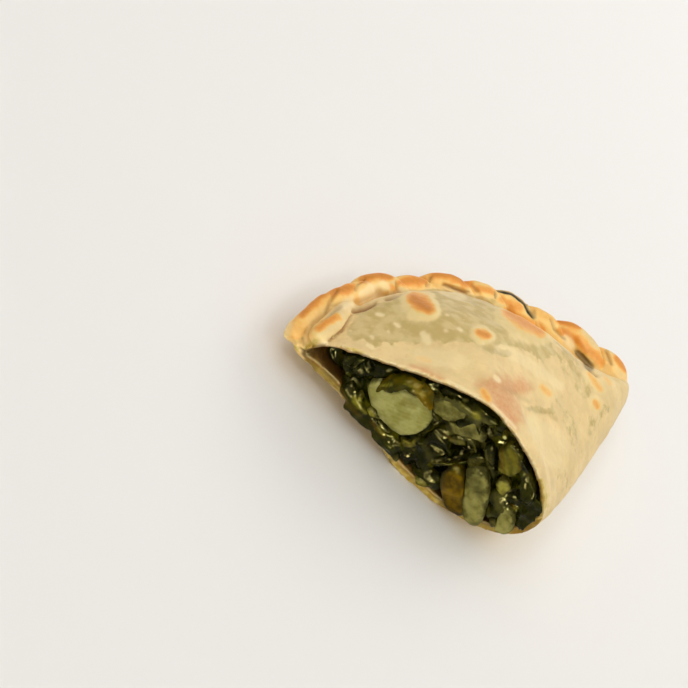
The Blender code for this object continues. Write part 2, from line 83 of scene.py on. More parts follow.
# Grain of the dough's mesh, the filling's and the core's, and the gap that the filling keeps
DOUGH_VOXEL, MASS_VOXEL, CORE_VOXEL = 0.36, 0.3, 0.8
FILLING_CLEARANCE = 0.3
SHELL_REACH = 0.985  # share of the way to the tip at which the dome's rings end
WALL_THINNED_AT_CUT = 0.3
ROPE_START, BAND_START = 3.4, 3.0  # where along the rope its core and the band beside it begin
ROPE_FLATNESS, STRAND_FLATNESS, STRAND_ROUNDING = 0.9, 0.9, 0.07
# The rounded end of the seam in the cut: its middle and its half axes
SEAM_END = (0.6, 2.4, 5.5)
SEAM_END_AXES = ((3.2, 0.0, -0.3), (0.0, 3.2, 0.0), (0.1, 0.0, 1.25))
# What x and z a block ahead of the cut spans
BLOCK_ACROSS, BLOCK_UP = (-12.0, 62.0), (-3.0, 31.0)

# Camera in the design frame, in millimetres
CAMERA_PLACE = np.array((-126.623, -450.101, 382.970))
CAMERA_RIGHT = np.array((0.72077951, 0.30234316, 0.62375116))
CAMERA_UP = np.array((-0.65782701, 0.58201058, 0.4780453))
CAMERA_TOWARD = np.array((-0.21849605, -0.75488562, 0.6183908))
CAMERA_PIXELS = 3240.0
PHOTO_SIZE = 688.0

# The strands of the rope next to the cut, each along picture points x, y at given depths behind the
# cut with a radius, as rows of (x, y, depth, radius)
STRANDS = (
    ((312, 343, 0.4, 1.8), (321, 335, 2.2, 2.2), (331, 326, 5.5, 2.3), (340, 317, 9.5, 2.1),
     (347, 310, 13.5, 1.7), (352, 304, 17, 1.1)),
    ((291, 342, 0.6, 1.7), (295, 332, 2.2, 1.9), (305, 322, 5.5, 2), (316, 311, 10, 2),
     (327, 299, 14, 1.7)),
    ((304, 344, 1.4, 1.2), (309, 333, 4, 1.5), (319, 322, 7.6, 1.7), (331, 311, 11.6, 1.8)),
    ((325, 306, 11.5, 1.5), (334, 300, 14.5, 2), (347, 295, 18.5, 2.1), (361, 291, 22.5, 2),
     (374, 288, 27, 1.7), (385, 285, 30, 1.2)),
)
# The gap beside the seam: its outline in the picture, and its size as (distance behind the cut, scale)
SEAM_HOLLOW = (305, 354, 308, 351, 321, 348, 335, 348, 348, 354, 350, 367, 336, 376, 318, 363)
SEAM_HOLLOW_SCALES = ((-3.0, 1.02), (0.0, 1.0), (2.5, 0.85), (5.0, 0.6), (7.0, 0.3))

# Marks on the pastry as strokes in the picture, each (radius, strength, then the points x, y that it
# follows)
BLISTERS = (
    (12, 1, 413, 300, 428, 309), (7, 0.8, 478, 333, 487, 337), (13, 0.72, 508, 312, 522, 322, 540, 331),
    (6, 0.3, 418, 359, 430, 362), (7, 0.42, 542, 387, 549, 394), (5, 0.42, 588, 373, 600, 390),
    (6, 0.55, 594, 402, 597, 407), (5, 0.3, 604, 377, 610, 384), (6, 0.6, 483, 391, 489, 399),
)
ROPE_BROWN = (
    (9, 0.85, 302, 314, 313, 302, 325, 290), (7.5, 0.7, 319, 329, 326, 322, 335, 317),
    (9, 0.9, 334, 291, 352, 287), (7.5, 0.9, 362, 279, 380, 273, 390, 276), (6, 0.6, 388, 287, 397, 288),
    (8, 0.85, 402, 281, 424, 281), (7, 0.85, 434, 275, 452, 276, 470, 284), (6, 0.65, 476, 288, 494, 292),
    (7, 0.6, 502, 299, 520, 308), (5, 0.4, 536, 313, 552, 319), (5, 0.9, 558, 321, 580, 327),
    (8, 0.75, 562, 330, 582, 344, 602, 362), (6, 0.8, 616, 358, 626, 370),
)
# Painted shade: dark brown strokes in the creases and gaps where the rope's strands meet the crown and each
# other
CREASE_SHADES = (
    (3.6, 1, 354, 311, 364, 308, 374, 302), (4, 0.9, 386, 297, 400, 292), (2.5, 0.7, 398, 281, 399, 291),
    (2.5, 0.7, 427, 286, 431, 276), (2.8, 1, 444, 285, 456, 289, 469, 293), (2.5, 0.6, 472, 284, 478, 292),
    (1.4, 1, 329, 341, 343, 330, 352, 315), (3.5, 0.45, 306, 333, 314, 322, 328, 313, 340, 307),
    (2.5, 0.7, 325, 313, 329, 303, 337, 290), (2, 0.6, 356, 290, 358, 283, 364, 279),
    (3.5, 0.8, 577, 353, 588, 365, 597, 375), (2.2, 0.6, 533, 310, 534, 318),
    (2.2, 0.6, 551, 319, 555, 330, 566, 340), (2.5, 0.6, 606, 350, 611, 364), (1.4, 1, 303, 338, 306, 351),
    (1.3, 1, 300, 347, 305, 353, 315, 350),
)
# Near-black strokes: the charred crack along the rope's crest, made darker as painted shade, and painted
# shade in the gap under the rope's lobe near the tip
CHAR_AND_GAP_SHADE = (
    (3.2, 1, 498, 289, 512, 292, 525, 303), (2.6, 1, 525, 304, 529, 312, 533, 317),
    (1.6, 0.6, 496, 292, 496, 298), (3.2, 0.6, 577, 352, 585, 360, 592, 368),
)
PINK_PATCHES = (
    (7, 1, 412, 371, 426, 377, 440, 382), (6, 0.6, 484, 392, 494, 404), (10, 0.8, 490, 384, 524, 388),
    (11, 0.9, 500, 402, 514, 420), (13, 0.8, 486, 387, 508, 400),
)
# The thin clear dough over the upper crown, outlined in the picture, and smaller patches of it
CLEAR_REGION = (
    346, 330, 352, 343, 364, 339, 374, 346, 390, 346, 402, 344, 416, 345, 430, 341, 442, 344, 458, 343,
    470, 341, 486, 348, 500, 345, 514, 345, 528, 352, 545, 362, 556, 352, 548, 338, 543, 324, 524, 316,
    505, 305, 493, 298, 468, 294, 444, 289, 432, 288, 404, 291, 388, 298, 380, 303, 366, 309, 354, 315,
)
CLEAR_PATCHES = (
    (10, 0.6, 556, 345, 572, 366, 586, 392), (7, 0.45, 560, 400, 572, 430, 578, 450),
    (4.5, 1, 489, 349, 506, 354), (4.5, 0.7, 530, 408, 552, 412), (10, 0.3, 560, 474, 568, 500),
    (8, 0.5, 590, 430, 604, 408),
)
DUSKY_PATCHES = (
    (5, 0.45, 310, 360, 322, 369, 334, 380, 342, 392), (6, 0.9, 504, 388, 514, 393),
    (6, 0.4, 284, 340, 296, 329), (4, 0.6, 308, 346, 318, 340), (5, 0.6, 286, 345, 296, 350),
    (4, 0.6, 484, 349, 508, 354), (4, 0.6, 528, 408, 548, 413, 556, 420), (4, 0.4, 497, 378, 486, 384),
    (4, 0.4, 566, 352, 580, 378), (4, 0.5, 516, 395, 530, 402),
)
WET_CORNER = (
    (9, 1, 512, 534, 528, 531, 541, 523), (8, 0.5, 548, 512, 541, 482),
    (9, 0.5, 388, 446, 398, 462, 414, 478, 434, 498), (6, 0.9, 286, 344, 296, 350),
    (5, 0.9, 306, 347, 316, 341), (3, 0.5, 345, 346, 362, 353),
)
# Pale dough and flour flecks, and painted highlights: a white spot on the crown and thin bright lines along
# the cut edge of the top crust
PALE_AND_HIGHLIGHT_PATCHES = (
    (4, 0.8, 370, 359, 395, 368, 418, 373), (5, 0.8, 423, 334, 428, 343), (10, 0.4, 420, 355, 460, 362),
    (6, 0.5, 500, 347, 520, 358, 545, 374, 560, 386), (14, 0.4, 535, 425, 552, 440, 552, 458),
    (2.5, 1, 494, 377, 499, 381), (2.4, 1, 377, 314, 383, 315), (2.2, 1, 395, 323, 399, 326),
    (1.6, 0.9, 388, 331, 389, 332), (2, 0.8, 371, 337, 373, 339), (2.2, 0.8, 367, 345, 373, 349),
    (1.8, 0.8, 446, 314, 448, 315), (2, 0.8, 459, 328, 461, 330), (1.8, 0.7, 445, 330, 447, 331),
    (6, 0.6, 444, 291, 462, 297), (6, 0.6, 284, 334, 290, 324), (6, 0.7, 344, 306, 352, 300),
    (8, 1, 364, 295, 384, 287), (5, 1, 566, 338, 572, 346), (2, 0.9, 446, 381, 478, 395),
    (1.8, 0.9, 494, 404, 516, 428),
)
# How each kind of mark is drawn, as (strokes, raggedness, widening, softness, and from which share
# towards the camera, over which span, a surface takes it)
IN_VIEW = (-0.05, 0.25)
DOUGH_MARKS = {
    "bake": (BLISTERS, 0.5, 0.25, 1.3, IN_VIEW),
    "halo": (BLISTERS, 0.5, 0.6, 0.3, IN_VIEW),
    "raised": (BLISTERS, 0.5, 0.5, 0.7, IN_VIEW),
    "pink": (PINK_PATCHES, 1.4, 0.7, 1.7, IN_VIEW),
    "clear": (CLEAR_PATCHES, 1.4, 0.2, 0.7, IN_VIEW),
    "pale_and_highlight": (PALE_AND_HIGHLIGHT_PATCHES, 1.2, 0.2, 0.6, IN_VIEW),
    "crease": (CREASE_SHADES, 0.5, 0.2, 1.0, (0.1, 0.25)),
    "brown": (ROPE_BROWN, 1.4, 0.35, 1.35, IN_VIEW),
    "char_and_gap_shade": (CHAR_AND_GAP_SHADE, 0.4, 0.1, 0.5, (-0.35, 0.2)),
    "dusky": (DUSKY_PATCHES, 2.0, 0.2, 1.2, IN_VIEW),
    "soaked": (WET_CORNER, 1.0, 0.2, 0.8, IN_VIEW),
}
# How brown the rope is as (length along it, brownness), and what share of that shows round it as
# (turn from its outside over its top, share)
TOAST = (
    (-5, 0.55), (3, 0.7), (10, 0.8), (17, 0.7), (22, 0.45), (27, 0.9), (32, 0.6), (38, 0.75), (46, 1),
    (52, 0.55), (57, 0.5), (63, 0.5), (70, 0.6), (76, 0.7), (83, 1), (90, 0.7), (95, 0.9), (105, 0.8),
)
TOAST_ROUND = (
    (-180, 0.3), (-120, 0.15), (-60, 0.25), (0, 0.8), (60, 0.75), (100, 0.35), (150, 0.2), (180, 0.25),
)

# The heap's face: how far it lies behind the cut, how much further beside the seam, and its hollows
# as (x, z, radius, depth)
HEAP_SET_BACK, SEAM_SET_BACK = 2.2, 7.0
HOLLOWS = ((35.0, 15.5, 3.2, 3.0), (33.8, 22.0, 1.6, 1.5), (4.0, 8.0, 3.0, 3.0))
# The leaves laid over its face: how many, between which (x, z), and the least and most of their sizes
LEAVES_ACROSS, LEAVES_UP = 11, 6
LEAVES_FROM, LEAVES_TO = (8.0, 2.5), (53.5, 25.5)
LEAF_LENGTH, LEAF_WIDTH, LEAF_CURL, LEAF_LEAN = (8.0, 12.0), (5.0, 7.5), (0.4, 1.2), (-40.0, 40.0)
LEAF_ROWS, LEAF_COLUMNS, LEAF_THICKNESS = 22, 13, 0.75
# The small bits' depth and bulge, and how rough the larger pieces, the folded leaves and the bits are
BIT_DEPTH, BIT_BULGE = 1.8, 0.45
CHUNK_ROUGHNESS, LUMP_ROUGHNESS, BIT_ROUGHNESS = 0.12, 0.4, 0.16

# The strip of leaf over the large onion as rows of (x, y, depth), and its width as (share, width)
YELLOW_LEAF = (
    (378, 390, 0.1), (388, 388, -0.5), (401, 385, -0.8), (413, 388, -0.7), (424, 397, -0.5),
    (431, 409, 0.1),
)
YELLOW_LEAF_THICKNESS = 0.45
YELLOW_LEAF_WIDTH = ((0, 1.2), (0.12, 2.8), (0.3, 3.6), (0.5, 2.8), (0.65, 3.6), (0.85, 2.4), (1, 1.2))

# Folded leaves that show in the cut, as (front, depth, bulge, tone, then the outline's points x, y)
LEAF_LUMPS = (
    (1, 3, 1, 0.2, 342, 353, 352, 349, 366, 354, 368, 372, 362, 388, 366, 400, 360, 408, 346, 404, 338, 388,
     341, 368),
    (1.6, 3, 0.9, 0.12, 371, 358, 392, 364, 402, 374, 384, 379, 370, 374),
    (1.8, 3, 0.8, 0.08, 404, 370, 424, 378, 440, 384, 436, 396, 420, 384, 406, 378),
    (0.3, 3, 0.6, 0.16, 414, 440, 424, 434, 440, 431, 449, 443, 450, 462, 438, 468, 426, 472, 415, 466, 411,
     452),
    (0.3, 3, 0.8, 0.08, 394, 446, 405, 443, 413, 456, 415, 467, 404, 470, 396, 460),
    (0, 3.2, 0.7, 0.3, 520, 471, 532, 480, 540, 489, 546, 499, 544, 511, 536, 520, 521, 523, 514, 516, 517,
     499, 519, 484),
    (0.6, 3, 0.7, 0.1, 512, 437, 521, 446, 531, 462, 537, 478, 528, 475, 519, 457),
    (0.2, 3, 0.5, 0.03, 506, 492, 516, 489, 520, 497, 514, 513, 507, 508),
    (0.9, 3, 0.5, 0.14, 487, 446, 499, 451, 501, 470, 495, 488, 488, 480, 485, 462),
    (-0.2, 3, 0.6, 0.22, 412, 470, 428, 473, 440, 476, 442, 486, 430, 488, 416, 480),
    (1, 3, 0.6, 0.3, 470, 398, 486, 408, 498, 421, 494, 428, 480, 416, 468, 406),
    (-1, 3, 0.6, 0.38, 338, 388, 350, 388, 362, 402, 374, 420, 368, 432, 352, 418, 342, 402),
    (-1.2, 3, 0.6, 0.4, 368, 414, 380, 428, 396, 440, 402, 452, 396, 462, 384, 452, 368, 432),
    (-0.6, 2.6, 0.5, 0.25, 514, 522, 532, 522, 544, 506, 548, 500, 546, 514, 536, 527, 518, 531),
    (-0.8, 3, 0.5, 0.34, 487, 492, 498, 490, 507, 500, 507, 516, 498, 524, 488, 518),
)
# Larger pieces, as (front, depth, bulge, (direction, spacing, depth) of the lines, outline's points)
CHUNKS = {
    "onion_large": (0.2, 3.4, 0.55, (-24, 0.95, 0.03), 366, 387, 368, 400, 374, 414, 384, 427, 396, 435,
        410, 437, 423, 432, 432, 422, 433, 412, 428, 401, 414, 391, 396, 384, 376, 381),
    "onion_mid": (0.3, 3, 0.4, (-20, 1.1, 0.03), 431, 399, 441, 398, 453, 401, 464, 407, 472, 413, 466, 421,
        452, 422, 440, 419, 432, 413),
    "onion_back": (0.5, 2.8, 0.35, (40, 1.2, 0.03), 447, 421, 458, 423, 470, 420, 478, 419, 480, 428, 485,
        436, 484, 443, 474, 440, 462, 437, 451, 433),
    "onion_low": (-1.4, 3.4, 0.4, None, 465, 472, 475, 470, 485, 476, 489, 489, 488, 504, 484, 518, 476,
        528, 465, 523, 460, 508, 463, 496, 464, 484),
    "onion_corner": (-1.6, 3.2, 0.35, None, 500, 509, 507, 508, 514, 516, 513, 530, 504, 536, 494, 531, 496,
        520),
    "stalk": (-1.5, 3.4, 0.35, None, 442, 473, 450, 467, 459, 469, 464, 480, 464, 498, 463, 517, 453, 515,
        443, 506, 440, 493, 439, 482),
    "stem": (-0.3, 3, 0.4, (30, 1.9, 0.08), 498, 452, 508, 446, 517, 450, 522, 462, 520, 473, 508, 478, 498,
        471),
}
# Smaller bits that lie in the heap, as (front, tone, outline's points)
BITS = (
    (-0.3, 1, 503, 434, 507, 434, 508, 438, 505, 440, 502, 437),
    (-0.3, 0.82, 495, 484, 501, 479, 508, 482, 510, 489, 505, 495, 497, 493),
    (0, 0.76, 471, 415, 476, 411, 482, 414, 482, 420, 476, 422, 471, 420),
    (0.1, 0.45, 449, 438, 457, 436, 466, 440, 465, 446, 456, 446, 450, 443),
    (0.1, 0.36, 467, 458, 475, 455, 484, 459, 484, 467, 476, 471, 468, 468),
    (-0.1, 0.58, 400, 438, 410, 441, 419, 437, 419, 444, 410, 448, 402, 446),
    (0.6, 0.24, 440, 392, 450, 388, 462, 394, 470, 403, 460, 404, 448, 400),
    (-0.6, 0.74, 355, 396, 360, 394, 363, 400, 361, 407, 356, 404),
    (-0.7, 0.76, 363, 409, 370, 408, 376, 413, 376, 418, 369, 417, 363, 413),
    (-0.6, 0.48, 378, 420, 386, 428, 392, 436, 389, 442, 381, 434, 376, 426),
    (-0.7, 0.6, 388, 441, 396, 441, 401, 446, 396, 449, 390, 447),
    (-0.9, 0.6, 414, 478, 424, 480, 432, 486, 424, 488, 416, 484),
    (-0.5, 0.52, 496, 503, 503, 501, 508, 506, 505, 514, 498, 512),
    (-0.4, 0.6, 512, 503, 519, 506, 517, 513, 511, 511),
    (-1.5, 0.42, 488, 519, 496, 518, 498, 526, 491, 528),
    (0.4, 0.12, 344, 353, 351, 352, 356, 361, 350, 367, 344, 362),
    (-0.7, 0.3, 344, 386, 351, 384, 355, 391, 351, 397, 345, 394),
    (-0.9, 0.6, 351, 400, 358, 399, 362, 405, 359, 411, 352, 408),
    (-0.9, 0.2, 366, 420, 374, 419, 380, 427, 375, 432, 366, 427),
    (-1.1, 0.35, 392, 452, 397, 452, 400, 458, 396, 462, 392, 458),
    (0.4, 0.22, 485, 447, 492, 446, 496, 455, 494, 468, 488, 462),
)
# Marks on whatever of the filling lies there, as strokes in the picture like those on the pastry
HEAP_MARKS = {
    # Painted shade: near-black in the holes and gaps between pieces, under the top crust and under the
    # yellow leaf
    "hole_shade": (
        (5, 1, 452, 444, 464, 450), (5.5, 1, 436, 470, 450, 468), (4.5, 1, 482, 425, 491, 434),
        (3.5, 0.8, 490, 442, 497, 456, 497, 472), (4, 0.9, 508, 494, 518, 493, 519, 504),
        (5, 0.8, 396, 447, 403, 457, 413, 464), (5.5, 1, 418, 371, 440, 379, 460, 384),
        (4, 0.9, 370, 356, 392, 362, 412, 369), (4, 0.9, 522, 452, 536, 470, 545, 490),
        (4, 0.7, 466, 386, 484, 398, 502, 416), (3, 0.5, 480, 496, 486, 510),
        (4, 0.6, 488, 472, 492, 490, 492, 512), (5, 0.6, 420, 438, 436, 434, 446, 440),
        (6, 0.6, 428, 446, 440, 452, 446, 462), (5, 0.6, 340, 370, 346, 388), (6, 0.5, 352, 372, 358, 386),
        (4, 0.5, 366, 357, 372, 370), (8, 0.42, 464, 472, 478, 482, 480, 494),
        (3.5, 0.6, 360, 366, 366, 382), (5, 0.2, 526, 486, 532, 506, 528, 518),
        (2.2, 0.6, 390, 393, 404, 391, 416, 396), (3, 0.5, 474, 386, 480, 396),
    ),
    # Translucent grey-green of onion and leaf, and in places a painted sheen on the dark leaves
    "clear": (
        (9, 0.7, 434, 396, 455, 404, 476, 416, 492, 432), (8, 0.7, 450, 428, 470, 437, 486, 444),
        (7, 0.6, 474, 452, 486, 466, 489, 484), (6, 0.6, 464, 474, 474, 478),
        (7, 0.5, 494, 494, 502, 510, 512, 520), (4, 0.35, 345, 354, 351, 363),
        (3, 0.2, 352, 362, 356, 374), (5, 0.4, 434, 398, 452, 402, 468, 410), (4, 0.5, 466, 438, 480, 447),
        (5, 0.5, 472, 456, 482, 466), (4.5, 0.5, 486, 448, 488, 470, 484, 486),
        (5, 0.6, 500, 497, 497, 508), (4, 0.4, 536, 486, 541, 502), (3, 0.4, 520, 486, 518, 496),
        (5, 0.3, 424, 446, 430, 460), (3, 0.4, 498, 412, 508, 426), (5, 0.6, 486, 506, 494, 528),
        (4, 0.35, 528, 474, 538, 494),
    ),
    "bright": (
        (4, 0.8, 354, 398, 360, 408), (3, 0.5, 358, 406, 366, 413), (3, 0.4, 378, 428, 384, 434),
        (4.5, 0.8, 474, 413, 479, 418), (5.5, 0.9, 500, 484, 507, 488),
        (5, 0.8, 466, 500, 470, 512, 480, 519), (5, 0.8, 503, 522, 508, 529), (3, 0.4, 450, 441, 464, 445),
        (3, 0.3, 462, 406, 466, 400), (3, 0.5, 499, 470, 506, 474), (3.5, 0.5, 408, 476, 424, 483),
        (5, 0.5, 462, 520, 476, 529), (2, 0.7, 380, 386, 392, 384), (2, 0.5, 405, 384, 415, 388, 424, 396),
        (3.5, 0.6, 508, 450, 516, 462, 514, 474),
    ),
    "amber": (
        (4, 0.35, 372, 422, 384, 436), (4.5, 0.7, 501, 450, 503, 470), (4, 0.6, 512, 506, 509, 512),
        (3, 0.5, 444, 436, 452, 441), (3, 0.5, 457, 480, 460, 494), (4, 0.5, 416, 388, 424, 396, 430, 406),
        (4, 0.25, 346, 402, 360, 416), (4, 0.3, 340, 388, 346, 400), (5, 0.8, 444, 506, 462, 518),
    ),
}

# Lamps as (place, what they point at, size, power, tint)
WARM = (1.0, 0.985, 0.96)
MIDDLE = (0.0, 0.0, 0.0)
LAMPS = {
    "key": ((-0.36, 0.14, 0.80), MIDDLE, 0.5, 1.2, WARM),
    "side": ((0.26, 0.30, 0.36), (0.05, 0.0, 0.0), 0.3, 0.66, WARM),
    "front": ((0.16, -0.50, 0.72), MIDDLE, 0.1, 0.6, WARM),
    "left": ((-0.40, -0.42, 0.70), MIDDLE, 0.1, 0.35, WARM),
    "back": ((0.12, 0.42, 0.28), (0.02, 0.20, 0.0), 0.2, 0.2, (0.94, 0.97, 1.0)),
}
# Small lamps that add no diffuse light: they show only as glints on what is wet
SPARKS = (
    (0.30, -0.85, 0.30), (-0.30, -0.80, 0.42), (0.62, -0.62, 0.44), (-0.62, -0.10, 0.78),
    (0.10, -0.40, 0.92), (0.0, -0.95, 0.55), (0.45, -0.30, 0.85), (-0.15, -0.60, 0.75),
)
SPARK_SIZE, SPARK_POWER, SPARK_TINT = 0.06, 11.0, (1.0, 0.95, 0.72)
TABLE_HALF = 3.0
SENSOR = 36.0


# --- numbers -----------------------------------------------------------------------------

def mix(low, high, share):
    return low + (high - low) * share


def smooth_step(share):
    share = np.clip(share, 0.0, 1.0)
    return share * share * (3.0 - 2.0 * share)


def rise(values, start, span):
    """0 at start and 1 at start + span, smooth between them; a negative span makes it fall."""
    return smooth_step((values - start) / span)


def unit(vectors):
    return vectors / np.linalg.norm(vectors, axis=-1, keepdims=True)


def lengths_along(points):
    """The length of a line of points up to each of them."""
    steps = np.linalg.norm(np.diff(points, axis=0), axis=1)
    return np.concatenate(((0.0,), np.cumsum(steps)))


def spline(points, count):
    """count points, evenly spaced, on a smooth curve through the given ones."""
    points = np.asarray(points, float)
    knots = np.vstack((2 * points[0] - points[1], points, 2 * points[-1] - points[-2]))
    t = (np.arange(24) / 24.0)[:, None]
    fine = []
    for p0, p1, p2, p3 in zip(knots, knots[1:], knots[2:], knots[3:]):
        fine.append(0.5 * (2 * p1 + (p2 - p0) * t + (2 * p0 - 5 * p1 + 4 * p2 - p3) * t * t
                           + (3 * p1 - p0 - 3 * p2 + p3) * t ** 3))
    fine = np.vstack((*fine, points[-1]))
    lengths = lengths_along(fine)
    goals = np.linspace(0.0, lengths[-1], count)
    return np.stack([np.interp(goals, lengths, fine[:, k]) for k in range(points.shape[1])], axis=1)


def closed(outline, count):
    """count points, evenly spaced, on a smooth closed curve through the given ones."""
    return spline(np.vstack((outline, outline[:1])), count + 1)[:-1]


def pairs(numbers):
    """Picture points from a row of x, y, x, y and so on."""
    return np.reshape(np.array(numbers, float), (-1, 2))


SHUFFLED = np.random.default_rng(5).permutation(256)
SLOPES = unit(np.random.default_rng(6).normal(size=(256, 3)))


def noise(points, size, seed):
    """Smooth noise from about -1 to 1 with lumps of that size, in millimetres."""
    scaled = np.asarray(points, float) / size + seed * 17.31
    cell = np.floor(scaled).astype(int)
    part = scaled - cell
    ease = part ** 3 * (part * (part * 6.0 - 15.0) + 10.0)
    total = np.zeros(len(scaled))
    for corner in np.ndindex(2, 2, 2):
        at = cell + corner
        index = SHUFFLED[at[:, 0] & 255]
        index = SHUFFLED[(index + at[:, 1]) & 255]
        index = SHUFFLED[(index + at[:, 2]) & 255]
        weight = np.prod(np.where(corner, ease, 1.0 - ease), axis=1)
        total += weight * np.einsum("ij,ij->i", part - corner, SLOPES[index])
    return total * 1.7


def waves(points, *layers):
    """The sum of some noises, each (height, size, seed)."""
    return sum(height * noise(points, size, seed) for height, size, seed in layers)


def noise_vectors(points, size, seed):
    return np.stack([noise(points, size, seed + k) for k in range(3)], axis=1)


def ridges(points, size, seed):
    """Noise with sharp crests, from 0 to 1."""
    return 1.0 - np.abs(noise(points, size, seed)) ** 0.8


# --- meshes ------------------------------------------------------------------------------

def loft(rings):
    """Points and faces of a closed body through rings of points, with a fan at each end."""
    rings = np.asarray(rings, float)
    levels, count = rings.shape[:2]
    points = np.vstack((rings.reshape(-1, 3), rings[0].mean(0), rings[-1].mean(0)))
    faces = []
    for level in range(levels - 1):
        for i in range(count):
            j = (i + 1) % count
            a, b = level * count, (level + 1) * count
            faces.append((a + i, a + j, b + j, b + i))
    low, high, last = levels * count, levels * count + 1, (levels - 1) * count
    for i in range(count):
        j = (i + 1) % count
        faces.append((j, i, low))
        faces.append((last + i, last + j, high))
    return points, faces


def joined(bodies):
    points, faces, start = [], [], 0
    for body_points, body_faces in bodies:
        points.append(body_points)
        faces += [tuple(start + i for i in face) for face in body_faces]
        start += len(body_points)
    return np.vstack(points), faces


def slab_faces(rows, columns):
    """Faces of a closed slab between two grids of points that are listed one after the other."""
    shift = rows * columns
    faces = []
    for i in range(rows - 1):
        for j in range(columns - 1):
            a, b = i * columns + j, (i + 1) * columns + j
            faces.append((a, b, b + 1, a + 1))
            faces.append((shift + a + 1, shift + b + 1, shift + b, shift + a))
    border = [i * columns for i in range(rows)] + list(range(shift - columns + 1, shift))
    border += [i * columns + columns - 1 for i in range(rows - 2, -1, -1)] + list(range(columns - 2, 0, -1))
    faces += [(a, shift + a, shift + b, b) for a, b in zip(border, border[1:] + border[:1])]
    return faces


def add_object(name, data):
    obj = bpy.data.objects.new(name, data)
    bpy.context.scene.collection.objects.link(obj)
    return obj


def new_object(name, body):
    """An object whose mesh is still in millimetres in the design frame."""
    mesh = bpy.data.meshes.new(name)
    mesh.from_pydata(body[0].tolist(), [], body[1])
    bm = bmesh.new()
    bm.from_mesh(mesh)
    bmesh.ops.recalc_face_normals(bm, faces=bm.faces)
    bm.to_mesh(mesh)
    bm.free()
    return add_object(name, mesh)


def apply_modifiers(obj):
    bpy.context.view_layer.update()
    evaluated = obj.evaluated_get(bpy.context.evaluated_depsgraph_get())
    mesh = bpy.data.meshes.new_from_object(evaluated)
    obj.modifiers.clear()
    obj.data = mesh


def remesh(obj, voxel):
    modifier = obj.modifiers.new("voxels", "REMESH")
    modifier.mode = "VOXEL"
    modifier.voxel_size = voxel
    apply_modifiers(obj)


def cut_away(obj, body):
    cutter = new_object("cutter", body)
    modifier = obj.modifiers.new("cut", "BOOLEAN")
    modifier.operation = "DIFFERENCE"
    modifier.solver = "MANIFOLD"
    modifier.object = cutter
    apply_modifiers(obj)
    bpy.data.objects.remove(cutter)


def rows_of(items, field, width, kind=float):
    """A field of all the items of a mesh, one row each."""
    flat = np.empty(len(items) * width, kind)
    items.foreach_get(field, flat)
    return flat.reshape(-1, width)


def mesh_points(obj):
    return rows_of(obj.data.vertices, "co", 3)


def mesh_normals(obj):
    return rows_of(obj.data.vertex_normals, "vector", 3)


def mesh_edges(obj):
    return rows_of(obj.data.edges, "vertices", 2, np.int32)


def set_points(obj, points):
    obj.data.vertices.foreach_set("co", np.asarray(points, np.float32).ravel())
    obj.data.update()


def spread(values, edges):
    """Each value replaced by the mean of its neighbours'."""
    count = np.bincount(edges.ravel(), minlength=len(values))
    columns = values.reshape(len(values), -1)
    means = [
        np.bincount(edges[:, 0], column[edges[:, 1]], len(values))
        + np.bincount(edges[:, 1], column[edges[:, 0]], len(values))
        for column in columns.T
    ]
    return (np.stack(means, axis=1) / np.maximum(count, 1)[:, None]).reshape(values.shape)


def smoothed(values, edges, passes, amount=0.5):
    for _ in range(passes):
        values = values + amount * (spread(values, edges) - values)
    return values


def set_attribute(obj, name, values):
    attribute = obj.data.attributes.new(name, "FLOAT", "POINT")
    attribute.data.foreach_set("value", np.asarray(values, np.float32))


def attribute_of(obj, name):
    return rows_of(obj.data.attributes[name].data, "value", 1).ravel()


def finish_piece(obj, material, slot, *nodes):
    """Moves the piece into the part's frame, in metres, and tells the frame about it."""
    set_points(obj, (mesh_points(obj) - ORIGIN) * MM)
    obj.data.materials.clear()
    obj.data.materials.append(material)
    obj.data.polygons.foreach_set("use_smooth", [True] * len(obj.data.polygons))
    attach(obj, "root")
    if nodes:
        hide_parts(*nodes)


# --- the pastry's form -------------------------------------------------------------------

def seam_point(share, outset=0.0):
    """Where top and bottom pastry meet, from the cut (0) to the tip (1), moved outwards by outset."""
    turn = math.radians(90.0) * share
    return np.array((
        SEAM_CENTRE - (SEAM_ACROSS + outset) * max(0.0, math.cos(turn)) ** SEAM_SQUARENESS,
        (SEAM_ALONG + outset) * math.sin(turn) ** SEAM_SQUARENESS,
        mix(SEAM_HEIGHT, SEAM_HEIGHT_AT_TIP, share),
    ))


FOLD_POINTS = spline(FOLD_LINE, 60)


def fold_point(share):
    place = share ** 1.5 * (len(FOLD_POINTS) - 1)
    x, y = (np.interp(place, np.arange(len(FOLD_POINTS)), FOLD_POINTS[:, k]) for k in (0, 1))
    return np.array((x, y, mix(FOLD_HEIGHT, FOLD_HEIGHT_AT_TIP, smooth_step(share))))


def section(count):
    """The cut's outline as rows of (share of the width, height above the chord, share of the chord)."""
    outline = spline(CUT_CROWN + CUT_BASE, count + 1)[:-1]
    share = outline[:, 0] / CUT_WIDTH
    chord = mix(SEAM_HEIGHT, FOLD_HEIGHT, share)
    return np.stack((share, outline[:, 1] - chord, outline[:, 1] / chord), axis=1)


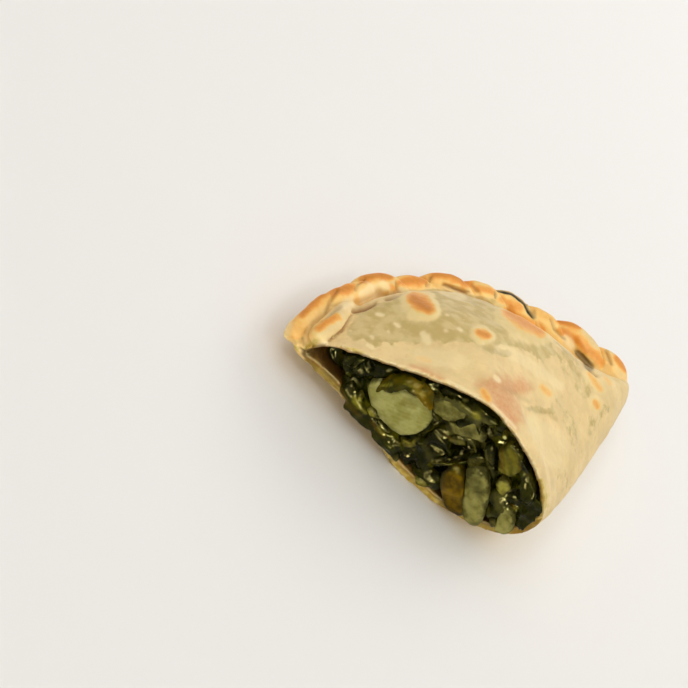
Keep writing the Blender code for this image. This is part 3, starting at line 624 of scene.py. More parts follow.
def ring(share, count, thickness=0.0, clearance=0.0, open_above=0.0):
    """The pastry's outline from the seam point round the fold and back, or its inside."""
    seam, fold = seam_point(share), fold_point(share)
    flat = mix(BASE_FLAT_AT_CUT, BASE_FLAT_BEHIND, smooth_step(share / 0.3))
    crown = mix(CROWN_AT_TIP, 1.0, max(0.0, math.cos(math.radians(90.0) * share)) ** CROWN_FALL)
    fullness = 1.0 + CROWN_FULLNESS * (rise(share, 0.1, 0.18) - 1.4 * rise(share, 0.5, 0.3))
    across = (fold - seam)[:2]
    width = np.linalg.norm(across)
    part, above, below = section(count).T
    upper = above > 0.0
    part = np.where(upper, np.abs(part) ** fullness, part)
    chord = mix(seam[2], fold[2], part)
    height = np.where(upper, chord + above * crown, chord * np.maximum(0.0, (below - flat) / (1.0 - flat)))
    outline = np.stack((part * width, height), axis=1)
    if thickness:
        outline = shrunk(outline, thickness, clearance, open_above)
    direction = across / width
    return np.stack((seam[0] + direction[0] * outline[:, 0],
                     seam[1] + direction[1] * outline[:, 0], outline[:, 1]), axis=1)


def shrunk(outline, inset, more, open_above):
    """The closed outline, drawn clockwise, moved inwards, by less on its upper side."""
    back = unit(outline - np.roll(outline, 1, axis=0))
    ahead = unit(np.roll(outline, -1, axis=0) - outline)
    inward = np.stack((back[:, 1] + ahead[:, 1], -back[:, 0] - ahead[:, 0]), axis=1)
    half = np.maximum(0.45, np.linalg.norm(inward, axis=1) / 2.0)
    inward = unit(inward)
    above = np.maximum(0.0, -inward[:, 1] - 0.2)
    inset = inset * (1.0 + THINNER_ABOVE * inward[:, 1]) + more - open_above * np.minimum(1.0, above)
    return outline + inward * (inset / half)[:, None]


def fine_ring(share, count, clearance=0.0, open_above=0.0):
    """The inside of the pastry, smoothed between the source's corners."""
    return closed(ring(share, 30, PASTRY_THICKNESS, clearance, open_above), count)


class Rope:
    """The line along the pastry's edge, measured by length from the cut."""

    def __init__(self):
        shares = np.linspace(0.0, 1.0, 241)
        outsets = mix(ROPE_OUTSET_AT_CUT, ROPE_OUTSET_BEHIND, rise(shares, 0.35, 0.4))
        self.points = np.array([seam_point(s, o) for s, o in zip(shares, outsets)])
        self.points[:, 2] += ROPE_LIFT
        self.lengths = lengths_along(self.points)

    def at(self, length):
        """(point, direction along, direction outwards), carried straight on past either end."""
        i = int(np.clip(np.searchsorted(self.lengths, length) - 1, 0, len(self.points) - 2))
        a, b = self.points[i], self.points[i + 1]
        along = unit(b - a)
        return a + along * (length - self.lengths[i]), along, unit(np.array((-along[1], along[0], 0.0)))

    def measure(self, points):
        """For each point its length along the rope, distance from its middle and turn round it."""
        best = np.zeros(len(points), int)
        nearest = np.full(len(points), 1e9)
        for i in range(0, len(self.points), 2):
            away = ((points - self.points[i]) ** 2).sum(1)
            closer = away < nearest
            best[closer], nearest[closer] = i, away[closer]
        delta = points - self.points[best]
        along = unit(np.gradient(self.points, axis=0))[best]
        length = self.lengths[best] + (delta * along).sum(1)
        outwards = np.stack((-along[:, 1], along[:, 0]), axis=1)
        out = (delta[:, :2] * outwards).sum(1)
        return length, np.hypot(out, delta[:, 2]), np.degrees(np.arctan2(delta[:, 2], out))


def tube(centres, radii, normals, sides, flatness):
    """A closed tube of oval section; normals give the flat direction at each centre."""
    rings = []
    for i, centre in enumerate(centres):
        along = unit(centres[min(i + 1, len(centres) - 1)] - centres[max(i - 1, 0)])
        up = unit(normals[i] - along * (normals[i] @ along))
        side = np.cross(along, up)
        turn = np.arange(sides)[:, None] * math.tau / sides
        rings.append(centre + radii[i] * (up * np.sin(turn) * flatness + side * np.cos(turn)))
    return loft(rings)


def rope_fold(rope, start, span, thickness, orbit):
    """One fold of the rope: from low on the outside, over the top, to the crown's side."""
    centres, radii, normals = [], [], []
    for share in np.linspace(0.0, 1.0, 30):
        point, _, outwards = rope.at(start + span * share)
        turn = math.radians(mix(*FOLD_TURN, share))
        radial = outwards * math.cos(turn) + np.array((0.0, 0.0, math.sin(turn)))
        centres.append(point + radial * orbit)
        radii.append(thickness / 2.0 * math.sin(math.pi * mix(0.05, 0.95, share)) ** 0.55)
        normals.append(radial)
    return tube(centres, radii, normals, sides=24, flatness=FOLD_FLATNESS)


def rope_run(rope, first, last, radius, flatness, inset):
    centres = []
    for length in np.linspace(first, last, 60):
        point, _, outwards = rope.at(length)
        centres.append(point - outwards * inset)
    upwards = np.array((0.0, 0.0, 1.0))
    return tube(centres, [radius] * 60, [upwards] * 60, sides=20, flatness=flatness)


def ball(middle, axes):
    """An ellipsoid whose half axes are the rows of axes."""
    turns = np.arange(24) * math.tau / 24
    rings = []
    for tilt in np.linspace(-math.pi / 2 + 0.08, math.pi / 2 - 0.08, 13):
        circle = np.outer(np.cos(turns) * math.cos(tilt), axes[0]) + np.outer(
            np.sin(turns) * math.cos(tilt), axes[1]) + math.sin(tilt) * axes[2]
        rings.append(middle + circle)
    return loft(rings)


def tip_lobe(rope):
    point, along, outwards = rope.at(rope.lengths[-1])
    long, wide, high = TIP_LOBE
    middle = point - along * TIP_LOBE_BACK - outwards * TIP_LOBE_IN
    return ball(middle, np.array((along * long, outwards * wide, (0.0, 0.0, high))))


def knife_face(points):
    """The cut wavers a little, as a knife leaves it."""
    return waves(points, (0.3, 2.6, 3), (0.24, 1.1, 4)) + 0.05


def hollow_body():
    """The inside of the pastry near the cut, where the wall above is thinner."""
    rings = [fine_ring(share, 120, open_above=mix(WALL_THINNED_AT_CUT, 0.0, smooth_step(share / 0.2)))
             for share in np.linspace(0.0, 0.30, 14)]
    ahead = [rings[0] - np.array((0.0, y, 0.0)) for y in (4.0, 2.0)]
    return loft(ahead + rings)


def seam_hollow_body():
    """The gap beside the seam, where the filling has shrunk away from the pastry."""
    outline = closed([on_plane(pixel, 0.0) for pixel in pairs(SEAM_HOLLOW)], 48)
    middle = outline.mean(0)
    return loft([middle + (outline - middle) * scale + np.array((0.0, y, 0.0))
                 for y, scale in SEAM_HOLLOW_SCALES])


def strand(path):
    """A strand of the rope along picture points at given depths, with round ends."""
    count = 40
    line = spline([(*on_plane((x, y), depth), radius) for x, y, depth, radius in path], count)
    centres, radii = line[:, :3], line[:, 3]
    share = np.linspace(0.0, 1.0, count)
    for from_end in (share, 1.0 - share):
        radii = radii * np.sqrt(1.0 - np.clip(1.0 - from_end / STRAND_ROUNDING, 0.0, 0.97) ** 2)
    return tube(centres, radii, [CAMERA_TOWARD] * count, sides=28, flatness=STRAND_FLATNESS)


def make_dough():
    rope = Rope()
    end = rope.lengths[-1]
    shell = [ring(share, 180) for share in SHELL_REACH * (np.arange(90) / 89.0) ** 0.9]
    bodies = [loft(shell), rope_run(rope, ROPE_START, end - 1.0, ROPE_CORE, ROPE_FLATNESS, inset=0.0),
              rope_run(rope, BAND_START, end - 2.0, BAND_WIDTH / 2.0, BAND_FLATNESS, BAND_INSET),
              tip_lobe(rope), ball(np.array(SEAM_END), np.array(SEAM_END_AXES))]
    bodies += [rope_fold(rope, *fold) for fold in FOLDS]
    bodies += [strand(path) for path in STRANDS]
    dough = new_object("dough", joined(bodies))
    remesh(dough, DOUGH_VOXEL)
    for body in (hollow_body(), seam_hollow_body(), front_block(knife_face, 30.0, 150, 90)):
        cut_away(dough, body)
    remesh(dough, DOUGH_VOXEL)
    return dough, rope


# --- marks on the pastry -----------------------------------------------------------------

def pixel_ray(x, y):
    across = (x - PHOTO_SIZE / 2.0) / CAMERA_PIXELS
    down = (y - PHOTO_SIZE / 2.0) / CAMERA_PIXELS
    return unit(CAMERA_RIGHT * across - CAMERA_UP * down - CAMERA_TOWARD)


def on_plane(pixel, y):
    """The point y millimetres behind the cut that shows at a picture point."""
    direction = pixel_ray(*pixel)
    return CAMERA_PLACE + direction * (y - CAMERA_PLACE[1]) / direction[1]


def picture_places(points):
    """Where points show in the picture."""
    away = points - CAMERA_PLACE
    across = np.stack((away @ CAMERA_RIGHT, -(away @ CAMERA_UP)), axis=1)
    return PHOTO_SIZE / 2.0 - CAMERA_PIXELS * across / (away @ CAMERA_TOWARD)[:, None]


def away_from_line(places, line):
    """Distance to a line in the picture, and where along it (0 to 1) its nearest point is."""
    nearest, along = np.full(len(places), 1e9), np.zeros(len(places))
    for number, (a, b) in enumerate(zip(np.array(line, float), np.array(line[1:], float))):
        reach = b - a
        share = np.clip((places - a) @ reach / (reach @ reach), 0.0, 1.0)
        away = np.linalg.norm(places - a - share[:, None] * reach, axis=1)
        closer = away < nearest
        nearest[closer] = away[closer]
        along[closer] = (number + share[closer]) / (len(line) - 1)
    return nearest, along


def strokes(places, rows, wobble, grow, soft):
    """How strongly strokes, thinner at their ends, cover each place.

    wobble makes their edges ragged, grow widens them by a share, soft is how far they fade out.
    """
    result = np.zeros(len(places))
    for radius, strength, *line in rows:
        away, along = away_from_line(places, pairs(line))
        width = radius * (1.0 - 0.22 * (2.0 * along - 1.0) ** 2)
        depth = 1.0 + grow - away / width * (1.0 + wobble)
        result = np.maximum(result, strength * smooth_step(depth / soft))
    return result


def inside_outline(places, outline):
    result = np.zeros(len(places), bool)
    x, y = places.T
    for a, b in zip(outline, np.roll(outline, -1, axis=0)):
        crosses = (a[1] > y) != (b[1] > y)
        with np.errstate(divide="ignore", invalid="ignore"):
            at = a[0] + (b[0] - a[0]) * (y - a[1]) / (b[1] - a[1])
        result ^= crosses & (x < at)
    return result


def region(places, outline, wobble, soft):
    """1 inside an outline in the picture and 0 outside it, soft at the edge."""
    away, _ = away_from_line(places, np.vstack((outline, outline[:1])))
    inside = inside_outline(places, outline)
    return smooth_step(0.5 + (np.where(inside, away, -away) + wobble) / soft)


def inside_mask(points, outline, margin):
    """Whether points lie in an outline (x, z) across the cut, grown by about margin."""
    grown = outline + unit(outline - outline.mean(0)) * margin
    return inside_outline(points[:, (0, 2)], grown)


def lining_share(points, normals):
    """1 on the walls of the hollow that holds the filling, falling to 0 within a millimetre of them."""
    hollow = new_object("hollow", joined((hollow_body(), seam_hollow_body())))
    walls = BVHTree.FromObject(hollow, bpy.context.evaluated_depsgraph_get())
    bpy.data.objects.remove(hollow)
    result = np.zeros(len(points))
    for number, (point, normal) in enumerate(zip(points, normals)):
        _, outwards, _, away = walls.find_nearest(Vector(point), 1.0)
        if away is not None and outwards.dot(Vector(normal)) < 0.45:
            result[number] = rise(away, 0.9, -0.45)
    return result


def drawn_marks(places, toward, wobble):
    """How strongly each kind of mark that the photo shows covers the points of the pastry."""
    return {name: rise(toward, *facing) * strokes(places, rows, waver * wobble, grow, soft)
            for name, (rows, waver, grow, soft, facing) in DOUGH_MARKS.items()}


def clear_crown(points, places, away):
    """The thin clear dough over the upper crown, with a sharp edge only along the rope."""
    off_rope = rise(away, 5.0, 2.0)
    wobble = waves(points, (4.0, 5.0, 23), (1.8, 1.7, 24), (1.6, 0.8, 25))
    return region(places, pairs(CLEAR_REGION), wobble * off_rope, mix(3.0, 9.0, off_rope))


def paint_dough(dough, rope):
    """Relief of the baked surface, and the attributes that its material reads."""
    edges = mesh_edges(dough)
    points = smoothed(mesh_points(dough), edges, 2)
    _, away, _ = rope.measure(points)
    at_tip = rise(points[:, 1], 54.0, 3.0) * rise(away, 4.2, 1.5)
    points = mix(points, smoothed(points, edges, 40), at_tip[:, None])
    set_points(dough, points)
    normals = mesh_normals(dough)
    x, y, z = points.T
    length, away, turn = rope.measure(points)
    places = picture_places(points)
    toward = normals @ CAMERA_TOWARD
    in_front = rise(toward, *IN_VIEW)
    upper_crown = in_front * clear_crown(points, places, away)
    on_rope = rise(away, 4.6, -1.2) * rise(y, -8.0, 4.0) * (1.0 - upper_crown)

    in_hollow = lining_share(points, normals)
    at_cut = rise(y, 0.8, -0.4) * rise(-normals[:, 1], 0.35, 0.3) * rise(x, 0.6, 1.0)
    in_cut = np.minimum(1.0, at_cut + in_hollow)
    outside = 1.0 - np.maximum(at_cut, in_hollow > 0.5)
    low_or_folded = np.maximum(rise(z, 9.5, -3.0), rise(x, 49.0, 3.0))

    marks = drawn_marks(places, toward, waves(points, (0.3, 2.6, 21), (0.16, 1.1, 22), (0.07, 0.5, 26)))
    raised = marks.pop("raised")
    soaked = marks.pop("soaked") * mix(0.5, 1.0, np.maximum(at_cut, in_hollow))
    bake, halo, brown, crease = (marks[name] for name in ("bake", "halo", "brown", "crease"))
    clear = np.maximum(upper_crown, marks["clear"])

    # the sides and the underside that the photo doesn't show
    unseen = 1.0 - in_front
    patches = noise(points, 7.0, 31)
    bake = np.maximum(bake, 0.5 * rise(patches, 0.38, 0.3) * unseen * (1.0 - on_rope))
    halo = np.maximum(halo, 0.6 * rise(patches, 0.2, 0.25) * unseen)
    clear = np.maximum(clear, 0.6 * rise(noise(points, 9.0, 33), 0.05, 0.3) * unseen)

    # the rope browns on its crests and stays pale where it turns down to the crown
    crest = ((points - smoothed(points, edges, 14, 0.6)) * normals).sum(1)
    crest = smoothed(crest, edges, 3)
    toast = np.interp(length, *zip(*TOAST)) * np.interp(turn, *zip(*TOAST_ROUND))
    rope_bake = toast * (0.5 + 1.2 * crest) + 0.14 * noise(points, 3.0, 41)
    bake = np.maximum(bake * (1.0 - 0.3 * on_rope), on_rope * np.clip(rope_bake, 0.0, 0.75))
    bake = np.maximum(bake, brown * outside)
    brown = np.clip(0.8 * brown + 1.6 * crest * on_rope - 0.3, 0.0, 1.0) * np.maximum(brown, 0.4 * toast)
    # painted shade in the concave valleys between the rope's folds, laid over the crease shade
    valley_shade = np.clip(-crest * 3.4, 0.0, 1.0) * rise(away, 6.0, -2.0)
    crease = np.maximum(crease, 0.6 * valley_shade)

    relief = waves(points, (0.30, 11.0, 51), (0.16, 4.5, 52), (0.07, 1.8, 53))
    relief = relief * outside * (1.0 - 0.5 * on_rope) + 0.32 * raised * outside
    relief += on_rope * outside * 0.12 * noise(points, 1.7, 54)
    relief -= outside * (0.75 * crease * (1.0 - valley_shade) + 0.5 * marks["char_and_gap_shade"])
    relief *= rise(z, 0.05, 0.8)
    points = points + normals * relief[:, None]
    points[:, 2] = np.maximum(points[:, 2], 0.0)
    set_points(dough, points)

    clear = clear * (1.0 - on_rope)
    marks.update(bake=bake, halo=halo, clear=clear, crease=crease, brown=brown, rope=on_rope)
    marks = {name: values * outside for name, values in marks.items()}
    # the hollow's lining: juice-soaked amber, made darker further in as painted shade
    marks.update(soaked=soaked, cut=in_cut, wet=in_cut * low_or_folded,
                 inner=in_hollow * mix(0.85, 1.0, rise(points[:, 1], 0.3, 2.0)))
    for name, values in marks.items():
        set_attribute(dough, name, smoothed(values, edges, 1))


# --- the filling -------------------------------------------------------------------------

WALL = fine_ring(0.0, 120)[:, (0, 2)]
WALL_MIDDLE = np.array((29.0, 12.5))
WALL_TURNS = np.arctan2(*(WALL - WALL_MIDDLE).T[::-1]) % math.tau


def pressed_in(points, room=0.6):
    """Points moved in where they would pass through the pastry."""
    delta = points[:, (0, 2)] - WALL_MIDDLE
    away = np.linalg.norm(delta, axis=1)
    turn = np.arctan2(delta[:, 1], delta[:, 0])
    order = np.argsort(WALL_TURNS)
    radii = np.linalg.norm(WALL - WALL_MIDDLE, axis=1)[order]
    limit = np.interp(turn % math.tau, WALL_TURNS[order], radii, period=math.tau) - room
    share = away / limit
    knee = 0.9
    squeezed = np.where(share > knee, knee + (1.0 - knee) * np.tanh((share - knee) / (1.0 - knee)), share)
    scale = squeezed / np.maximum(share, 1e-6)
    scale = mix(1.0, scale, rise(points[:, 1], -1.0, 1.4))
    result = points.copy()
    result[:, (0, 2)] = WALL_MIDDLE + delta * scale[:, None]
    return result


def heap_face(points):
    """How far behind the cut the heap's face lies at each (x, z)."""
    x, z = points[:, 0], points[:, 2]
    back = HEAP_SET_BACK + SEAM_SET_BACK * rise(x, 9.0, -4.0)
    for cx, cz, radius, deep in HOLLOWS:
        back = back + deep * smooth_step(1.3 - np.hypot(x - cx, z - cz) / radius)
    return back + 0.9 * noise(points, 4.0, 61) + 0.6 * (ridges(points, 2.2, 62) - 0.6)


def front_block(face_of, depth, columns, rows):
    """A block ahead of the face that face_of gives behind each (x, z)."""
    x, z = np.linspace(*BLOCK_ACROSS, columns), np.linspace(*BLOCK_UP, rows)
    grid = np.stack(np.meshgrid(x, z, indexing="ij"), axis=-1).reshape(-1, 2)
    face = np.stack((grid[:, 0], np.zeros(len(grid)), grid[:, 1]), axis=1)
    face[:, 1] = face_of(face)
    front = face.copy()
    front[:, 1] = -depth
    return np.vstack((face, front)), slab_faces(columns, rows)


def make_core():
    """The chard deep inside, behind what the cut shows."""
    core = new_object("chard_core", loft([fine_ring(share, 80, FILLING_CLEARANCE)
                                          for share in np.linspace(0.10, 0.80, 22)]))
    remesh(core, CORE_VOXEL)
    points = mesh_points(core)
    points = points + mesh_normals(core) * (0.25 * noise(points, 3.0, 63) - 0.2)[:, None]
    set_points(core, points)
    set_attribute(core, "tone", 0.4 + 0.4 * noise(points, 5.0, 64))
    set_attribute(core, "rim", np.zeros(len(points)))
    mark_filling(core)
    return core


def heap_block():
    """The heap behind its face, without its leaves."""
    rings = [fine_ring(share, 100, FILLING_CLEARANCE) for share in np.linspace(0.0, 0.13, 5)]
    rings.insert(0, rings[0] - np.array((0.0, 2.0, 0.0)))
    block = new_object("block", loft(rings))
    cut_away(block, front_block(heap_face, 12.0, 140, 70))
    body = mesh_points(block), [tuple(face.vertices) for face in block.data.polygons]
    bpy.data.objects.remove(block)
    return body


def make_mass():
    """The wet mass of chard in the cut: many leaves that cling together into one body."""
    bodies, tones, rims = leaf_bodies()
    mass = new_object("chard_mass", joined(bodies + [heap_block()]))
    remesh(mass, MASS_VOXEL)
    edges = mesh_edges(mass)
    points = smoothed(mesh_points(mass), edges, 4)
    set_points(mass, points)

    source = np.vstack([body[0] for body in bodies])
    tree = KDTree(len(source))
    for number, point in enumerate(source):
        tree.insert(point, number)
    tree.balance()
    found = [tree.find(point) for point in points]
    index = np.array([item[1] for item in found])
    close = rise(np.array([item[2] for item in found]), 1.2, -0.6)
    tone = mix(0.15 + 0.25 * noise(points, 4.0, 64), np.concatenate(tones)[index], close)
    crinkle = waves(points, (0.14, 2.0, 65), (0.04, 0.8, 66))
    points = points + mesh_normals(mass) * crinkle[:, None]
    set_points(mass, points)
    mark_filling(mass)
    hole_shade, clear, bright = (attribute_of(mass, name) for name in ("hole_shade", "clear", "bright"))
    facing = rise(points[:, 1], 4.0, -2.0) * rise(points[:, 1], -0.6, 0.8)
    points[:, 1] += smoothed((1.3 * hole_shade - 0.3 * clear - 0.4 * bright) * facing, edges, 3)
    set_points(mass, pressed_in(points, 0.15))
    set_attribute(mass, "tone", smoothed(tone, edges, 2))
    set_attribute(mass, "rim", smoothed(np.concatenate(rims)[index] * close, edges, 1))
    return mass


def turned(points, turn, tilt, roll):
    """Points turned in the cut plane, tilted back, and rolled about their own length."""
    matrix = (Matrix.Rotation(math.radians(turn), 3, "Y") @ Matrix.Rotation(math.radians(tilt), 3, "X")
              @ Matrix.Rotation(math.radians(roll), 3, "Z"))
    return points @ np.array(matrix).T


def sheet_body(grid, thickness):
    """A closed thin body round a grid of points; also how near each point is to the sheet's rim."""
    rows, columns = grid.shape[:2]
    normals = np.cross(np.gradient(grid, axis=0), np.gradient(grid, axis=1))
    normals /= np.maximum(np.linalg.norm(normals, axis=2)[..., None], 1e-9)
    u = np.abs(np.linspace(-1, 1, rows))[:, None]
    v = np.abs(np.linspace(-1, 1, columns))[None, :]
    rim = np.maximum(u, v) ** 4
    half = normals * (thickness / 2.0 * (1.0 - 0.75 * rim))[..., None]
    points = np.vstack(((grid + half).reshape(-1, 3), (grid - half).reshape(-1, 3)))
    return points, slab_faces(rows, columns), np.tile(rim.ravel(), 2)


def leaf_grid(dice, length, width, curl):
    """A cooked scrap of leaf: bent and rolled along its length, puckered and torn at its edge."""
    rows, columns = LEAF_ROWS, LEAF_COLUMNS
    u = np.linspace(-1.0, 1.0, rows)[:, None] * np.ones(columns)
    v = np.ones(rows)[:, None] * np.linspace(-1.0, 1.0, columns)
    phases = dice.uniform(0.0, math.tau, 6)
    bend = curl * (0.7 * u + 0.5 * np.sin(2.2 * u + phases[0]) + 0.35 * v * np.sin(1.7 * u + phases[1]))
    step = length / (rows - 1)
    along = np.cumsum(np.cos(bend), axis=0) * step
    lift = np.cumsum(np.sin(bend), axis=0) * step
    along -= along.mean(0)
    lift -= lift.mean(0)
    shape = 1.0 - 0.35 * u ** 2 + 0.12 * np.sin(3.0 * u + phases[2]) + 0.08 * np.sin(7.0 * u + phases[3])
    across = v * width / 2.0 * shape
    torn = 0.12 * length * (np.sin(4.0 * v + phases[4]) + 0.5 * np.sin(9.0 * v + phases[5]))
    along = along + torn * np.abs(u) ** 3 * 0.5
    cup = 0.16 * width * np.sin(2.4 * v + phases[4]) * np.cos(1.5 * u)
    grid = np.stack((along, lift + cup, across), axis=-1)
    flat = grid.reshape(-1, 3) + dice.uniform(-50.0, 50.0, 3)
    pucker = waves(flat, (0.30, 2.6, 71), (0.08, 1.1, 72))
    grid[..., 1] += pucker.reshape(rows, columns)
    return grid


def leaf_bodies():
    """Bodies of the leaves in the heap, and for each the tone and the nearness to a rim of its points."""
    dice = np.random.default_rng(17)
    bodies, tones, rims = [], [], []
    for number, (front, depth, bulge, tone, *outline) in enumerate(LEAF_LUMPS):
        points, faces, _ = chunk_body(outline, front, depth, bulge, 200 + number, LUMP_ROUGHNESS)
        points = pressed_in(points)
        points = points + 0.45 * noise_vectors(points, 2.3, 240)
        points[:, 1] += waves(points, (0.35, 2.6, 243), (0.25, 1.1, 244))
        bodies.append((points, faces))
        tones.append(np.full(len(points), tone))
        rims.append(rise(points[:, 1], front, 0.9) * (points[:, 1] < front + 1.4))
    for i in range(LEAVES_ACROSS):
        for j in range(LEAVES_UP):
            x = mix(LEAVES_FROM[0], LEAVES_TO[0], i / (LEAVES_ACROSS - 1)) + dice.uniform(-1.6, 1.6)
            up = (j + 0.5 * (i % 2)) / (LEAVES_UP - 1)
            z = mix(LEAVES_FROM[1], LEAVES_TO[1], up) + dice.uniform(-1.2, 1.2)
            numbers = dice.uniform(size=8)
            spot = np.array(((x, 0.0, z),))
            if not inside_mask(spot, WALL, -1.2)[0]:
                continue
            grid = leaf_grid(dice, mix(*LEAF_LENGTH, numbers[1]), mix(*LEAF_WIDTH, numbers[2]),
                             mix(*LEAF_CURL, numbers[6]))
            placed = turned(grid.reshape(-1, 3), 180.0 * numbers[3], mix(*LEAF_LEAN, numbers[4]),
                            mix(*LEAF_LEAN, numbers[5]))
            placed = placed + np.array((x, heap_face(spot)[0] - 0.5 + 0.8 * numbers[0], z))
            placed = clear_of_chunks(pressed_in(placed))
            points, faces, rim = sheet_body(placed.reshape(grid.shape), LEAF_THICKNESS)
            bodies.append((points, faces))
            tones.append(np.full(len(points), 0.4 * numbers[7] ** 1.5))
            rims.append(rim)
    return bodies, tones, rims


def cut_outline(outline, front):
    """An outline in the picture as (x, z) places on the plane at that distance behind the cut."""
    return np.array([on_plane(pixel, front)[[0, 2]] for pixel in pairs(outline)])


def clear_of_chunks(points):
    """Points moved back where they would cover one of the larger pieces."""
    result = points.copy()
    for front, _, _, _, *outline in CHUNKS.values():
        covered = inside_mask(result, cut_outline(outline, front), -0.35) & (result[:, 1] < front + 1.4)
        result[covered, 1] = front + 1.4 + 0.3 * (result[covered, 1] - front)
    return result


def chunk_body(outline, front, depth, bulge, seed, rough, lines=None):
    """A rounded piece with an outline in the picture; also how near each point is to its edge.

    lines are the direction, spacing and depth of the grooves in its face.
    """
    corners = closed(cut_outline(outline, front), 72)
    middle = corners.mean(0)
    rings = [(front - bulge * (1.0 - scale ** 2.4) + 0.15 * scale ** 6, scale)
             for scale in np.linspace(0.0, 0.9, 16)[1:]]
    rings += [(front + 0.22, 0.96), (front + 0.5, 0.99), (front + 0.9, 1.0),
              (front + 0.5 * depth, 1.0), (front + depth - 0.6, 0.98), (front + depth, 0.85)]
    body = []
    for y, scale in rings:
        flat = middle + (corners - middle) * scale
        body.append(np.stack((flat[:, 0], np.full(len(flat), y), flat[:, 1]), axis=1))
    points, faces = loft(body)
    edge = np.repeat([scale if y < front + 0.4 else 1.0 for y, scale in rings], len(corners))
    edge = np.concatenate((edge, (0.0, 1.0)))
    points = points + rough * noise_vectors(points, 2.2, seed)
    lumps = waves(points, (0.3, 3.4, seed + 3), (0.09, 1.2, seed + 4))
    points[:, 1] += lumps * (points[:, 1] < front + 1.0)
    if lines:
        direction, spacing, groove = lines
        turn = math.radians(direction)
        place = points[:, 0] * math.sin(turn) + points[:, 2] * math.cos(turn)
        place = place + 0.35 * noise(points, 6.0, seed + 5)
        wave = np.cos(place * math.tau / spacing) + 0.4 * np.cos(place * math.tau / spacing * 2.3 + 1.0)
        points[:, 1] += groove * wave * rise(points[:, 1], front + 0.8, -0.8)
    return points, faces, edge


def mark_filling(obj):
    """Sets what HEAP_MARKS says as attributes, on what lies near the cut."""
    points = mesh_points(obj)
    places = picture_places(points)
    wobble = waves(points, (0.35, 1.8, 121), (0.2, 0.7, 122))
    near = rise(points[:, 1], 6.0, -2.0)
    for name, rows in HEAP_MARKS.items():
        set_attribute(obj, name, near * strokes(places, rows, wobble, 0.15, 1.0))


def make_bits():
    bodies, tones = [], []
    for number, (front, tone, *outline) in enumerate(BITS):
        points, faces, edge = chunk_body(outline, front, BIT_DEPTH, BIT_BULGE, 300 + 5 * number,
                                         BIT_ROUGHNESS)
        bodies.append((pressed_in(points, 0.5), faces))
        tones.append(tone * (1.0 - 0.6 * rise(edge, 0.4, 0.6)))
    bits = new_object("onion_bits", joined(bodies))
    set_attribute(bits, "tone", np.concatenate(tones))
    mark_filling(bits)
    return bits


def make_yellow_leaf():
    """The olive strip of leaf that curls over the large onion."""
    rows, columns = 40, 15
    line = spline([on_plane((x, y), depth) for x, y, depth in YELLOW_LEAF], rows)
    share = np.linspace(0.0, 1.0, rows)
    widths = np.interp(share, *zip(*YELLOW_LEAF_WIDTH))
    out = unit(np.cross(unit(np.gradient(line, axis=0)), np.array((0.0, -1.0, 0.0))))
    v = np.linspace(-1.0, 1.0, columns)
    grid = line[:, None, :] + out[:, None, :] * (v[None, :, None] * widths[:, None, None] / 2.0)
    grid[..., 1] += 0.9 * np.abs(v)[None, :] ** 3 - 0.55 * np.cos(v * 2.6)[None, :]
    grid[..., 1] += 0.5 * np.sin(v * 4.0 + share[:, None] * 9.0) * np.cos(share[:, None] * 5.0)
    flat = grid.reshape(-1, 3)
    grid[..., 1] += waves(flat, (0.45, 1.5, 91), (0.22, 0.7, 92)).reshape(rows, columns)
    points, faces, rim = sheet_body(grid, YELLOW_LEAF_THICKNESS)
    leaf = new_object("yellow_leaf", (points, faces))
    along_leaf = np.tile(np.repeat(share, columns), 2)
    set_attribute(leaf, "tone", 0.1 + 0.7 * rise(along_leaf, 0.4, 0.35) + 0.2 * noise(points, 2.0, 93))
    set_attribute(leaf, "rim", rim)
    mark_filling(leaf)
    return leaf


def make_chunk(number, node):
    """One of the larger pieces, which replaces its node."""
    front, depth, bulge, lines, *outline = CHUNKS[node]
    points, faces, edge = chunk_body(outline, front, depth, bulge, 100 + 7 * number, CHUNK_ROUGHNESS, lines)
    chunk = new_object(node + "_piece", (points, faces))
    inner_edge = 0.82 if node == "onion_large" else 0.45
    set_attribute(chunk, "edge", rise(edge, inner_edge, 1.05 - inner_edge))
    mark_filling(chunk)
    return chunk


# --- materials ---------------------------------------------------------------------------

def colour(red, green, blue):
    """A colour given as in a picture, 0 to 255, for a shader."""
    return tuple((c / 12.92 if c <= 0.04045 else ((c + 0.055) / 1.055) ** 2.4)
                 for c in (red / 255.0, green / 255.0, blue / 255.0)) + (1.0,)


class Value:
    """What a node gives, so that sums and products of it are written as such."""

    def __init__(self, finish, socket):
        self.finish = finish
        self.socket = socket

    def __add__(self, other):
        return self.finish.math("ADD", self, other)

    def __sub__(self, other):
        return self.finish.math("SUBTRACT", self, other)

    def __mul__(self, other):
        return self.finish.math("MULTIPLY", self, other)


